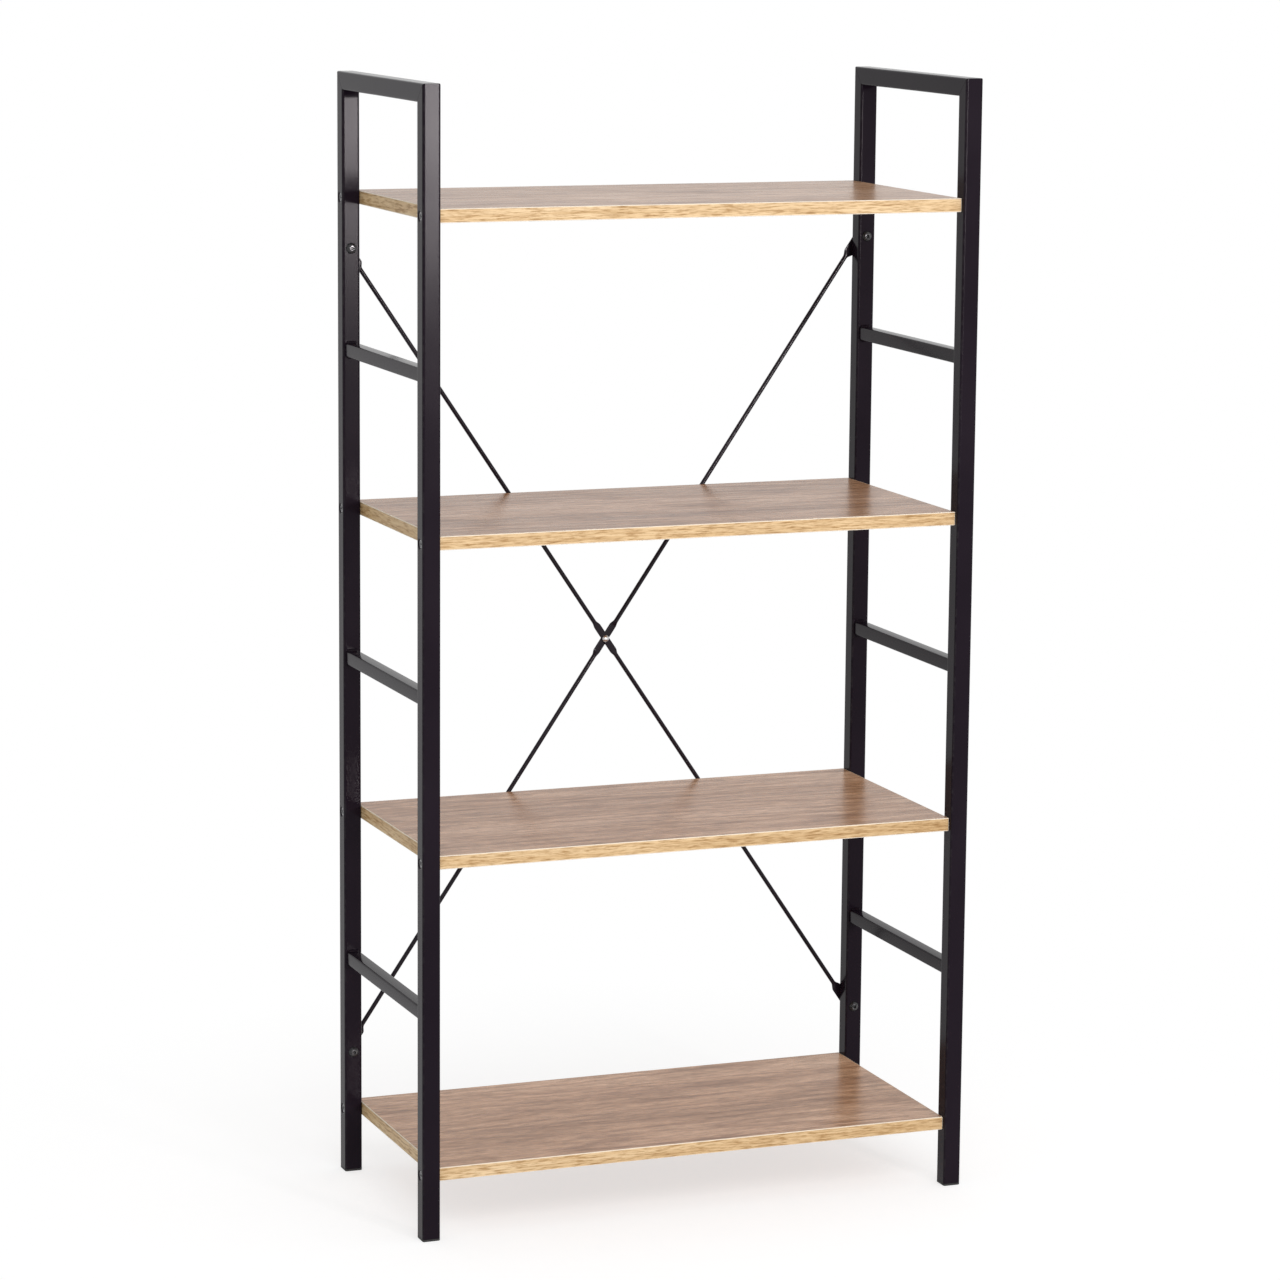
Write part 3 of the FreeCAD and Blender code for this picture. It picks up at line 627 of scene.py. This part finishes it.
# %% [markdown]
# ## The top rails
#
# A rail is the same tube laid down and mitred at both ends. Its grid needs only a few
# rows, because nothing happens between its ends.

# %% Top rails
LYING = ((1, 0, 0), (0, 0, 1), (0, 1, 0))


def top_rail(node):
    """Grid of a rail: its outline from one mitre to the other.

    A mitre climbs outwards, so a point lies as far out as it lies above the tube's axis.
    """
    outline, rub = rounded_rectangle(TUBE, TUBE, TUBE_CORNER)
    half = size(node)[1] / 2
    rows = []
    for end, scale, back in ((FRONT, DRAWN_IN, 0), (FRONT, 1, SEAM), (REAR, 1, SEAM), (REAR, DRAWN_IN, 0)):
        section = outline * scale
        rows.append(lifted(section, end * (half - TUBE / 2 + section[:, 1] - back)))
    return placed(closed(np.array(rows)), middle(node), LYING), rub


for _, side_word in SIDES:
    node = f"{side_word}_top_rail"
    make_piece(f"rail_top_{side_word}", [top_rail(node)], POWDER_COAT, "black_powder_coat", node)

# %% [markdown]
# ## The rungs
#
# The rungs are smaller tube, sawn square and set between the uprights. A cube with a Bevel
# modifier would do, but the outline of the big tube also brings the corners' rub map.

# %% Rungs
RUNG_CORNER = 1.8 * MM
RUNGS = (1, 2, 3)


def rung(node):
    """Grid of a rung: its outline at both ends."""
    width, length, height = size(node)
    outline, rub = rounded_rectangle(width, height, RUNG_CORNER)
    ends = [lifted(outline, end * length / 2) for end in (FRONT, REAR)]
    return placed(closed(np.array(ends)), middle(node), LYING), rub


for _, side_word in SIDES:
    for number in RUNGS:
        node = f"{side_word}_rung_{number}"
        make_piece(f"rung_{side_word}_{number}", [rung(node)], POWDER_COAT, "black_powder_coat", node)

# %% [markdown]
# ## The weld beads
#
# A rung is welded over and under each of its ends. A bead fills the corner between the
# two tubes. Its face bulges, and it is rippled where one drop of metal froze upon the
# last. It could be sculpted, but a formula keeps all beads alike. Across the bead the face
# is a slope with half a sine wave on it. Along the bead the whole section swells and
# shrinks, and it tapers at both ends.

# %% Weld beads
WELD_LEG = 2.6 * MM
WELD_BULGE = 0.5 * MM
WELD_RIPPLE = 1.3 * MM
RIPPLE_DEPTH = 0.16
LOST_AT_ENDS, LOSS_POWER = 0.97, 8
ACROSS_BEAD, ALONG_BEAD = 9, 55
BEAD_RUB = 0.35


def weld_bead(width):
    """Grid of one bead, along its own first axis, in the corner of the other two axes.

    The taper is the root of one less a share of the eighth power of the distance from the
    bead's middle, and the ripple takes away a share of a squared sine.
    """
    share = np.linspace(0, 1, ACROSS_BEAD)
    bulge = WELD_BULGE * np.sin(math.pi * share) / math.sqrt(2)
    face = np.column_stack([WELD_LEG * share + bulge, WELD_LEG * (1 - share) + bulge])
    section = np.concatenate([face, [[0, 0]]])
    station = np.linspace(-1, 1, ALONG_BEAD)
    taper = np.sqrt(1 - LOST_AT_ENDS * station**LOSS_POWER)
    ripple = 1 - RIPPLE_DEPTH * np.sin(math.pi * station * width / 2 / WELD_RIPPLE) ** 2
    rows = (taper * ripple)[:, None, None] * section
    along = np.broadcast_to((station * width / 2)[:, None, None], (*rows.shape[:2], 1))
    return closed(np.concatenate([along, rows], axis=2))


for side, side_word in SIDES:
    beads = []
    for number in RUNGS:
        low, high = box(f"{side_word}_rung_{number}")
        width = (high - low)[0] - 2 * RUNG_CORNER
        for end, y in ((FRONT, low[1]), (REAR, high[1])):
            for over, z in ((-1, low[2]), (1, high[2])):
                corner = (side * UPRIGHT_X, y, z)
                axes = ((1, 0, 0), (0, -end, 0), (0, 0, over))
                beads.append((placed(weld_bead(width), corner, axes), BEAD_RUB))
    node = f"{side_word}_frame_welds"
    make_piece(f"welds_{side_word}", beads, POWDER_COAT, "black_powder_coat", node)

# %% [markdown]
# ## The foot plugs
#
# A plug is a flange that covers the end of the tube and a hollow stem with thin fins that
# grip inside it. Seen from above, every part of it is a rounded square, so the whole plug
# is one stack of them: out and up over the flange, up the finned stem, and down into the
# hollow.

# %% Foot plugs
PLUG_FLANGE = 2.5 * MM
PLUG_DEPTH = 16 * MM
PLUG_RIM = 0.9 * MM
STEM_INSET = 1.7 * MM
FIN_INSET = 1.25 * MM
PLUG_WALL = 1.6 * MM
FIN_PITCH = 4.5 * MM
FIN_HEIGHT = 1 * MM
FINS = 3
ROUND_STEPS = 5


def foot_plug():
    """Grid of one plug, standing on the floor, from its underside to its hollow."""
    bend = np.linspace(0, math.pi / 2, ROUND_STEPS)
    rim = [(PLUG_RIM * (1 - math.sin(a)), PLUG_RIM * (1 - math.cos(a)), 1) for a in bend]
    top = PLUG_FLANGE + PLUG_DEPTH
    fins = []
    for number in range(1, FINS + 1):
        root = PLUG_FLANGE + number * FIN_PITCH
        fins += [(STEM_INSET, root, 0), (FIN_INSET, root + FIN_HEIGHT / 2, 0)]
        fins += [(FIN_INSET, root + FIN_HEIGHT, 0), (STEM_INSET, root + FIN_HEIGHT, 0)]
    stations = [
        *rim,
        (0, PLUG_FLANGE, 0.3),
        (STEM_INSET, PLUG_FLANGE, 0),
        *fins,
        (STEM_INSET, top, 0),
        (STEM_INSET + PLUG_WALL, top, 0),
        (STEM_INSET + PLUG_WALL, PLUG_FLANGE, 0),
    ]
    return stacked(TUBE, TUBE, TUBE_CORNER, stations)


plug, rub = foot_plug()
feet = [(plug + (side * UPRIGHT_X, row, 0), rub) for side, _ in SIDES for row in UPRIGHT_ROWS]
make_piece("plugs_in_feet", feet, BLACK_PLASTIC, "black_plastic", "foot_plugs")

# %% [markdown]
# ## The boards
#
# A board itself is flat and square-edged, and strips hide its four edges. A new mesh would
# add nothing, so the solid part is shown, and it only takes the laminate.

# %% Boards
for board in BOARDS:
    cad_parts[board].data.materials.clear()
    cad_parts[board].data.materials.append(OAK_LAMINATE)
    print(board, "takes", OAK_LAMINATE.name)

# %% [markdown]
# ## The edging strips
#
# A strip is a thin plate whose outer arris is milled round after it is glued on. It is a
# stack of rounded rectangles again, and the last few draw in along a quarter circle. The
# milled part is marked in the rub map for its cream colour and painted highlight.

# %% Edging strips
ARRIS = 0.8 * MM
MILLED_MARGIN = 0.12 * MM


def edging_strip(length, height, thickness):
    """Grid of a strip: its length, its height and outwards are its own three axes."""
    bend = np.linspace(0, math.pi / 2, ROUND_STEPS)
    # Rub 1 marks the round-over, which takes the cream colour and a painted highlight.
    round_over = [
        (ARRIS * (1 - math.cos(a)), thickness - ARRIS * (1 - math.sin(a)), 1) for a in bend
    ]
    face = (ARRIS + MILLED_MARGIN, thickness, 0)
    return stacked(length, height, ARRIS, [(0, 0, 0), *round_over, face])


for number, board in zip(BOARD_NUMBERS, BOARDS):
    for end, end_word in ENDS:
        node = f"shelf_{number}_{end_word}_edging"
        length, thickness, height = size(node)
        back = middle(node) - (0, end * thickness / 2, 0)
        strip, rub = edging_strip(length, height, thickness)
        lying = placed(strip, back, ((1, 0, 0), (0, 0, 1), (0, end, 0)))
        make_piece(f"edging_{end_word}_{number}", [(lying, rub)], OAK_EDGING, "oak_edging", node)

    node = f"shelf_{number}_end_edging"
    _, length, height = size(node)
    core_low, core_high = box(board)
    strip, rub = edging_strip(length, height, box(node)[1][0] - core_high[0])
    strips = []
    for side, face in ((LEFT, core_low[0]), (RIGHT, core_high[0])):
        back = (face, *middle(node)[1:])
        strips.append((placed(strip, back, ((0, 1, 0), (0, 0, 1), (side, 0, 0))), rub))
    make_piece(f"edging_ends_{number}", strips, OAK_END_EDGING, "oak_edging", node)

# %% [markdown]
# ## The cross in a screw's head
#
# A shelf screw's head has a cross pressed into it for the driver. It is a height pattern
# on a round grid: a point sinks if it lies close to one of the two arms, and less the
# further out it is. A boolean would leave thin, hard faces in so small a head.

# %% Cross recess
CROSS_DEPTH = 2.1 * MM
CROSS_ARM, CROSS_POWER = 0.62 * MM, 4
CROSS_REACH, CROSS_FULL = 2.7 * MM, 1.15
SCREW_AROUND = 40


def cross_recess(radius):
    """Depth of the driver's cross at a radius, for each angle.

    The nearer arm is at the smaller of |x| and |y|. The depth falls as the exponential of
    minus the fourth power of that distance over the arm's half width, and evenly from the
    middle outwards.
    """
    x = np.abs(radius * np.cos(angles(SCREW_AROUND)))
    y = np.abs(radius * np.sin(angles(SCREW_AROUND)))
    arm = np.exp(-((np.minimum(x, y) / CROSS_ARM) ** CROSS_POWER))
    return CROSS_DEPTH * arm * np.clip(CROSS_FULL - radius / CROSS_REACH, 0, 1)


print(f"the cross is {cross_recess(0).max() / MM:.1f} mm deep in the middle")

# %% [markdown]
# ## The shelf screws
#
# Chipboard screws hold the boards. Under its flat cone of a head a screw has a plain neck,
# then a coarse thread, then a point. No two screws stop at the same turn, so each is
# turned by its own angle.

# %% Shelf screws
SCREW_SINK = 0.95 * MM
SCREW_HEAD = 4.8 * MM
SCREW_SHANK = 2.5 * MM
SCREW_CORE = 1.75 * MM
SCREW_PITCH = 2.2 * MM
SCREW_NECK = 9 * MM
SCREW_TAPER = 41 * MM
SCREW_POINT = 46 * MM
TIP_RADIUS, TIP_LENGTH = 0.5 * MM, 0.6 * MM
RIM_WIDTH, RIM_DROP = 0.25 * MM, 0.2 * MM
HEAD_REACH, HEAD_RINGS = 1.2 * CROSS_REACH, 13
SCREW_STEP = SCREW_PITCH / 4
chance = np.random.default_rng(4)


def shelf_screw():
    """Grid of a screw, from the middle of its head to its point."""
    rings = np.linspace(0, HEAD_REACH, HEAD_RINGS)
    head = [(r, SCREW_SINK + cross_recess(r), 0.8) for r in rings]
    levels = np.arange(SCREW_NECK, SCREW_TAPER, SCREW_STEP)
    threaded = thread(SCREW_CORE, SCREW_SHANK - SCREW_CORE, SCREW_PITCH, levels, SCREW_AROUND)
    under_head = SCREW_SINK + SCREW_HEAD - SCREW_SHANK
    stations = [
        *head,
        (SCREW_HEAD - RIM_WIDTH, SCREW_SINK, 1),
        (SCREW_HEAD, SCREW_SINK + RIM_DROP, 0.6),
        (SCREW_SHANK, under_head, 0),
        (SCREW_SHANK, SCREW_NECK - SCREW_STEP, 0),
        *threaded,
        (SCREW_CORE, SCREW_TAPER, 0),
        (TIP_RADIUS, SCREW_POINT - TIP_LENGTH, 0),
        (0, SCREW_POINT, 0),
    ]
    return turned(stations, SCREW_AROUND)


screw, rub = shelf_screw()
screws = []
for side, _ in SIDES:
    for row in UPRIGHT_ROWS:
        for level in SCREW_LEVELS:
            spin = chance.uniform(0, math.pi / 2)
            first = (0, -side * math.cos(spin), math.sin(spin))
            second = (0, side * math.sin(spin), math.cos(spin))
            face = (side * (UPRIGHT_X + TUBE / 2), row, level)
            screws.append((placed(screw, face, (first, second, (-side, 0, 0))), rub))
make_piece("screws_for_shelves", screws, BLACK_STEEL, "black_fasteners", "shelf_screws")

# %% [markdown]
# ## Sizes of the crossed rods
#
# A rod is round wire. Its ends and its middle were pressed flat in a die, and the metal
# spread sideways as it thinned. The die leaves soft necks, so a smooth step leads from
# each size to the next. All widths and thicknesses are halves.

# %% Rod sizes
ROD = 2.5 * MM
TAB_WIDTH, TAB_THICK = 6 * MM, 0.8 * MM
WAIST_WIDTH, WAIST_THICK = 4 * MM, 1.15 * MM
TAB_LENGTH, TAB_NECK = 23 * MM, 8 * MM
WAIST_LENGTH, WAIST_NECK = 17 * MM, 7 * MM
ROUND_POWER, FLAT_POWER = 1.0, 0.34
bolt_low, bolt_high = box("brace_bolts")
BOLT_HEAD = 6 * MM
BOLT_LEVELS = (bolt_low[2] + BOLT_HEAD, bolt_high[2] - BOLT_HEAD)
CROSSING = (0, REAR_UPRIGHT_BACK + ROD, sum(BOLT_LEVELS) / 2)


def smooth_step(value):
    """0 below 0 and 1 above 1, with 3 t squared less 2 t cubed between them."""
    share = np.clip(value, 0, 1)
    return share * share * (3 - 2 * share)


print(f"rods cross {CROSSING[2]:.4f} m up, between bolts at", np.round(BOLT_LEVELS, 4))

# %% [markdown]
# ## The crossed rods
#
# Three things change along a rod: the half width, the half thickness and how square the
# section is. The section is a superellipse, which turns from a circle into a rectangle
# with round corners as its power falls. A curve with a bevel would keep one section.

# %% Crossed rods
WAIST_STEPS, NECK_STEPS, CAP_STEPS, PLAIN_STEPS = 26, 16, 12, 4
ROD_AROUND = 36
LEAST_SHARE = 0.001
ROD_RUB = 0.7


def brace_rod(rise, lap):
    """Grid of a rod along its diagonal.

    At a station the section's points are (w cos^p, t sin^p), with the signs of the cosine
    and the sine. Beyond the bolt the width is that of a circle about it: the root of one
    less the squared share of the way to the tip.
    """
    across, climb = 2 * UPRIGHT_X, rise * (BOLT_LEVELS[1] - BOLT_LEVELS[0])
    half = math.hypot(across, climb) / 2
    fine = half - TAB_LENGTH - TAB_NECK
    parts = [
        np.linspace(0, WAIST_LENGTH + WAIST_NECK, WAIST_STEPS),
        np.linspace(WAIST_LENGTH + WAIST_NECK, fine, PLAIN_STEPS)[1:],
        np.linspace(fine, half - TAB_LENGTH, NECK_STEPS)[1:],
        np.linspace(half - TAB_LENGTH, half, PLAIN_STEPS)[1:],
        half + TAB_WIDTH * np.sin(np.linspace(0, math.pi / 2, CAP_STEPS)[1:]),
    ]
    outer = np.concatenate(parts)
    station = np.concatenate([-outer[:0:-1], outer])
    far = np.abs(station)
    waist = 1 - smooth_step((far - WAIST_LENGTH) / WAIST_NECK)
    tab = smooth_step((far - fine) / TAB_NECK)
    wire = 1 - waist - tab
    beyond = np.clip(far - half, 0, None) / TAB_WIDTH
    rounded = np.sqrt(np.clip(1 - beyond**2, LEAST_SHARE**2, 1))
    wide = wire * ROD + waist * WAIST_WIDTH + tab * TAB_WIDTH * rounded
    thick = wire * ROD + waist * WAIST_THICK + tab * TAB_THICK
    offset = waist * lap * WAIST_THICK + tab * (TAB_THICK - ROD)
    power = wire * ROUND_POWER + (1 - wire) * FLAT_POWER
    cosine, sine = np.cos(angles(ROD_AROUND)), np.sin(angles(ROD_AROUND))
    bent = [np.sign(c) * np.abs(c) ** power[:, None] for c in (cosine, sine)]
    along = np.broadcast_to(station[:, None], bent[0].shape)
    section = wide[:, None] * bent[0], thick[:, None] * bent[1] + offset[:, None]
    grid = np.stack([along, *section], axis=-1)
    run = np.array([across, 0, climb]) / (2 * half)
    up = np.array([-run[2], 0, run[0]])
    rub = ROD_RUB * (1 - wire)[:, None] * np.abs(2 * cosine * sine)
    return placed(closed(grid), CROSSING, (run, up, (0, 1, 0))), np.pad(rub, ((1, 1), (0, 0)))


for word, rise, lap in (("rising", 1, 1), ("falling", -1, -1)):
    node = f"brace_rod_{word}"
    make_piece(f"rod_{word}", [brace_rod(rise, lap)], ROD_COAT, "black_powder_coat", node)

# %% [markdown]
# ## The rivet in the middle
#
# One rivet pins the two rods together. It is a profile turned about its axis: a domed
# head in front, a short shank, and a flatter head behind, where it was hammered over.

# %% Centre rivet
RIVET_HEAD, HEAD_DOME, HEAD_RIM, HEAD_POWER = 3.9 * MM, 1.9 * MM, 0.5 * MM, 2.4
RIVET_TAIL, TAIL_DOME, TAIL_RIM, TAIL_POWER = 3.5 * MM, 0.98 * MM, 0.42 * MM, 3.5
RIVET_SHANK = 2 * MM
DOME_RINGS, DOME_RUB = 9, 0.2
RIVET_AROUND = 40


def dome(radius, height, rim, way, power):
    """Stations of a dome from its middle to its rim: it falls with a power of the radius."""
    shares = np.linspace(0, 1, DOME_RINGS)
    return [(radius * t, rim + way * (height - height * t**power), DOME_RUB) for t in shares]


seat = 2 * WAIST_THICK
rivet_front = dome(RIVET_HEAD, HEAD_DOME, -seat - HEAD_RIM, -1, HEAD_POWER)
rivet_back = dome(RIVET_TAIL, TAIL_DOME, seat + TAIL_RIM, 1, TAIL_POWER)
rivet_stations = [
    *rivet_front,
    (RIVET_HEAD, -seat, 1),
    (RIVET_SHANK, -seat, 0),
    (RIVET_SHANK, seat, 0),
    (RIVET_TAIL, seat, 1),
    *rivet_back[::-1],
]
grid, rub = turned(rivet_stations, RIVET_AROUND)
rivet = [(placed(grid, CROSSING, ((0, 0, 1), (1, 0, 0), (0, 1, 0))), rub)]
make_piece("rivet_of_rods", rivet, ZINC, "zinc_plated_steel", "brace_centre_rivet")

# %% [markdown]
# ## The bolts of the rods
#
# Button-head bolts pass through the rear uprights from the front. The profile starts at
# the bottom of the key's socket, which is a hexagon, climbs over the dome, and ends in
# the thread that shows past the nut. With the socket in the profile no boolean is needed.

# %% Bolts
BOLT_CROWN, BOLT_FLAT = 3.3 * MM, 3 * MM
BOLT_SOCKET, SOCKET_DEPTH = 4 * MM, 2.1 * MM
BOLT_SHANK, BOLT_CORE, BOLT_PITCH = 3 * MM, 2.5 * MM, 1 * MM
BOLT_LENGTH, THREAD_START = 30 * MM, 20 * MM
BOLT_DOME_POWER, BOLT_DOME_FALL, BOLT_RINGS = 1.7, 0.94, 8
SOCKET_EDGE, BOLT_CHAMFER = 0.12 * MM, 0.4 * MM
BOLT_AROUND = 36
BOLT_STEP = BOLT_PITCH / 6


def brace_bolt():
    """Grid of a bolt from its socket to its end. Level 0 is under the head.

    The dome falls with a power of the share of the way from its flat top to its rim.
    """
    socket = hexagon(BOLT_SOCKET, BOLT_AROUND)
    reach = BOLT_HEAD - BOLT_FLAT
    over_dome = []
    for share in np.linspace(0, 1, BOLT_RINGS):
        level = -BOLT_CROWN * (1 - BOLT_DOME_FALL * share**BOLT_DOME_POWER)
        over_dome.append((BOLT_FLAT + reach * share, level, 0.3 * (1 - share)))
    levels = np.arange(THREAD_START, BOLT_LENGTH - BOLT_PITCH / 2, BOLT_STEP)
    threaded = thread(BOLT_CORE, BOLT_SHANK - BOLT_CORE, BOLT_PITCH, levels, BOLT_AROUND)
    stations = [
        (0, SOCKET_DEPTH - BOLT_CROWN, 0),
        (socket, SOCKET_DEPTH - BOLT_CROWN, 0),
        (socket, SOCKET_EDGE - BOLT_CROWN, 0.7),
        (socket + SOCKET_EDGE, -BOLT_CROWN, 1),
        *over_dome,
        (BOLT_HEAD, 0, 0.4),
        (BOLT_SHANK, 0, 0),
        (BOLT_SHANK, THREAD_START - BOLT_STEP, 0),
        *threaded,
        (BOLT_CORE, BOLT_LENGTH - BOLT_PITCH / 4, 0.4),
        (BOLT_CORE - BOLT_CHAMFER, BOLT_LENGTH, 0.4),
        (0, BOLT_LENGTH, 0),
    ]
    return turned(stations, BOLT_AROUND)


def at_bolts(grid, rub, y):
    """The same turned piece at all four bolts, each turned by its own angle."""
    copies = []
    for side, _ in SIDES:
        for level in BOLT_LEVELS:
            spin = chance.uniform(0, math.pi / 3)
            up = (math.sin(spin), 0, math.cos(spin))
            beside = (math.cos(spin), 0, -math.sin(spin))
            origin = (side * UPRIGHT_X, y, level)
            copies.append((placed(grid, origin, (up, beside, (0, 1, 0))), rub))
    return copies


bolts = at_bolts(*brace_bolt(), REAR_UPRIGHT_FRONT)
make_piece("bolts_of_rods", bolts, BLACK_STEEL, "black_fasteners", "brace_bolts")

# %% [markdown]
# ## Washers and nuts
#
# Both are rings, so the profile runs round the metal and comes back to where it began.
# The nut is a hexagon whose corners are turned off at 30 degrees: a point sinks below the
# face by its distance outside the inner circle times the tangent of that angle. A round
# collar on top holds the locking ring.

# %% Washers and nuts
WASHER_BORE, WASHER_EDGE, WASHER_THICK, WASHER_ROUND = 3.2 * MM, 6 * MM, 1.2 * MM, 0.2 * MM
NUT_FLATS, NUT_HEIGHT, NUT_BORE, NUT_EASE = 10 * MM, 4.8 * MM, 3.05 * MM, 0.1 * MM
COLLAR, COLLAR_HEIGHT = 4.5 * MM, 1.2 * MM
COLLAR_PROFILE = ((1.0, 0.0, 0), (1.0, 0.6, 0.4), (0.93, 0.95, 0.8), (0.86, 1.0, 0.4))
WASHER_AROUND, NUT_AROUND = 40, 60
washer_stations = [
    (WASHER_BORE, 0, 0),
    (WASHER_EDGE - WASHER_ROUND, 0, 0),
    (WASHER_EDGE, WASHER_ROUND, 1),
    (WASHER_EDGE, WASHER_THICK - WASHER_ROUND, 1),
    (WASHER_EDGE - WASHER_ROUND, WASHER_THICK, 0.5),
    (WASHER_BORE, WASHER_THICK, 0),
    (WASHER_BORE, 0, 0),
]
corner_reach = hexagon(NUT_FLATS, NUT_AROUND)
turned_off = (corner_reach - NUT_FLATS / 2) * math.tan(math.radians(30))
nut_stations = [
    (NUT_BORE, 0, 0),
    (NUT_FLATS / 2 - NUT_EASE, 0, 0.5),
    (corner_reach, turned_off + NUT_EASE, 0.6),
    (corner_reach, NUT_HEIGHT - NUT_EASE - turned_off, 0.6),
    (NUT_FLATS / 2 - NUT_EASE, NUT_HEIGHT, 0.5),
    *[(COLLAR * wide, NUT_HEIGHT + COLLAR_HEIGHT * up, rub) for wide, up, rub in COLLAR_PROFILE],
    (NUT_BORE, NUT_HEIGHT + COLLAR_HEIGHT, 0),
    (NUT_BORE, 0, 0),
]
washer_seat = REAR_UPRIGHT_BACK + 2 * TAB_THICK
for word, stations, around, y in (
    ("washers", washer_stations, WASHER_AROUND, washer_seat),
    ("nuts", nut_stations, NUT_AROUND, washer_seat + WASHER_THICK),
):
    rings = at_bolts(*turned(stations, around), y)
    make_piece(f"{word}_of_rods", rings, ZINC, "zinc_plated_steel", f"brace_{word}")

# %% [markdown]
# ## The floor
#
# The unit stands on a pale studio floor. Near the feet it is mostly a matt surface that
# takes the shadow, with a faint glow added, so that it is white just beside the shadow.
# Further out it fades into an even white, so that no horizon shows.

# %% Floor
FLOOR_SIZE = 9.0
FADE_START, FADE_END, FADE_NEAR = 0.25, 0.9, 0.4
FLOOR_GLOW = 0.34


def seeing_ray(holder):
    """1 for rays that see, directly, mirrored or through glass, and 0 for rays that light."""
    path = add_node(holder, "LightPath", {})
    total = path.outputs["Is Camera Ray"]
    for name in ("Is Glossy Ray", "Is Transmission Ray"):
        total = sum_node(holder, "MAXIMUM", total, path.outputs[name])
    return total


def make_floor():
    """A large plane whose material fades from glowing matt white to an even white."""
    half = FLOOR_SIZE / 2
    mesh = bpy.data.meshes.new("studio_floor")
    corners = [(-half, -half, 0), (half, -half, 0), (half, half, 0), (-half, half, 0)]
    mesh.from_pydata(corners, [], [(0, 1, 2, 3)])
    floor = new_object("studio_floor", mesh)
    finish, shader = new_finish("studio_floor", Roughness=0.9, Specular_IOR_Level=0.0)
    here = places(finish)
    flecks = ramp(finish, noise(finish, here, 40), (0.3, (0.90,) * 3), (0.7, (0.92,) * 3))
    join(finish, shader, Base_Color=flecks)
    far = add_node(finish, "VectorMath", {0: here}, operation="LENGTH").outputs["Value"]
    seen = seeing_ray(finish)
    fade = times(finish, spread(finish, far, FADE_START, FADE_END, FADE_NEAR, 1), seen)
    glow = add_node(finish, "Emission", {"Strength": times(finish, seen, FLOOR_GLOW)})
    matt = add_node(finish, "AddShader", {0: shader.outputs[0], 1: glow.outputs[0]})
    white = add_node(finish, "Emission", {"Strength": 1.0})
    mixed = add_node(finish, "MixShader", {0: fade, 1: matt.outputs[0], 2: white.outputs[0]})
    join(finish, finish.node_tree.nodes["Material Output"], Surface=mixed.outputs[0])
    mesh.materials.append(finish)


make_floor()

# %% [markdown]
# ## The surroundings
#
# The world is that same white wherever it is seen, also in a mirror or through glass. Where
# it only lights the unit it is softer, and weaker from the left, so that the frames have a
# darker side.

# %% World
WORLD_LIGHT, SHADED_LIGHT = 0.66, 0.42
SHADED_WAY, OPEN_WAY = -0.9, 0.1


def make_world():
    """White wherever it is seen, and a softer light elsewhere, weaker from the left.

    In a world, Generated is the direction of a ray, so its X says how far to the side.
    """
    world = bpy.data.worlds.new("studio")
    world.use_nodes = True
    bpy.context.scene.world = world
    way = add_node(world, "TexCoord", {}).outputs["Generated"]
    side = add_node(world, "SeparateXYZ", {"Vector": way}).outputs["X"]
    light = spread(world, side, SHADED_WAY, OPEN_WAY, SHADED_LIGHT, WORLD_LIGHT)
    strength = spread(world, seeing_ray(world), 0, 1, light, 1.0)
    join(world, world.node_tree.nodes["Background"], Color=(1, 1, 1, 1), Strength=strength)
    print("world:", world.name)


make_world()

# %% [markdown]
# ## Light
#
# Two lamps give soft light. The large main one stands in front and above. A smaller one,
# with a faint pink tint, stands lower in front and to the right, and it draws the soft
# bright streak that shows on the front of the left side frame.

# %% Lamps
def turned_to(yaw, pitch, roll=0.0):
    """Turn of a lamp or a camera: it looks along +Y, then rolls, tilts up and swings right."""
    swing = Matrix.Rotation(-yaw, 3, "Z")
    tilt = Matrix.Rotation(math.pi / 2 + pitch, 3, "X")
    return (swing @ tilt @ Matrix.Rotation(roll, 3, "Z")).to_euler()


def add_lamp(name, place, target, size, power, tint=(1, 1, 1)):
    """A rectangular lamp at a place, turned to face a target."""
    data = bpy.data.lights.new(name, "AREA")
    data.shape = "RECTANGLE"
    data.size, data.size_y = size
    data.energy = power
    data.color = tint
    lamp = new_object(name, data)
    lamp.location = place
    way = np.array(target) - np.array(place)
    yaw = math.atan2(way[0], way[1])
    pitch = math.atan2(way[2], math.hypot(way[0], way[1]))
    lamp.rotation_euler = turned_to(yaw, pitch)
    print(f"{name}: {power} W, {np.linalg.norm(way):.2f} m from what it faces")


UNIT_MIDDLE = (0, 0, 0.62)
add_lamp("main_lamp", (-0.6, -3.4, 3.0), UNIT_MIDDLE, (2.4, 1.6), 46)
add_lamp("front_lamp", (1.24, -4.4, 1.01), (0, 0, 1.1), (0.46, 0.60), 64, (1.0, 0.93, 0.95))

# %% [markdown]
# ## Camera
#
# The camera stands in front, to the left and a little above the top, and looks through a
# long lens, so the depth of the unit is seen but nothing is stretched.

# %% Camera
CAMERA_PLACE = (-1.762, -4.510, 1.460)
CAMERA_YAW, CAMERA_PITCH, CAMERA_ROLL = (math.radians(a) for a in (21.185, -9.862, 0.484))
CAMERA_LENS, CAMERA_SENSOR = 123.9, 36.0

camera_data = bpy.data.cameras.new("camera")
camera_data.lens = CAMERA_LENS
camera_data.sensor_width = CAMERA_SENSOR
camera = new_object("camera", camera_data)
camera.location = CAMERA_PLACE
camera.rotation_euler = turned_to(CAMERA_YAW, CAMERA_PITCH, CAMERA_ROLL)
bpy.context.scene.camera = camera
bpy.context.scene.view_settings.view_transform = "Standard"
print(f"camera: {math.degrees(camera_data.angle):.1f} degrees wide")
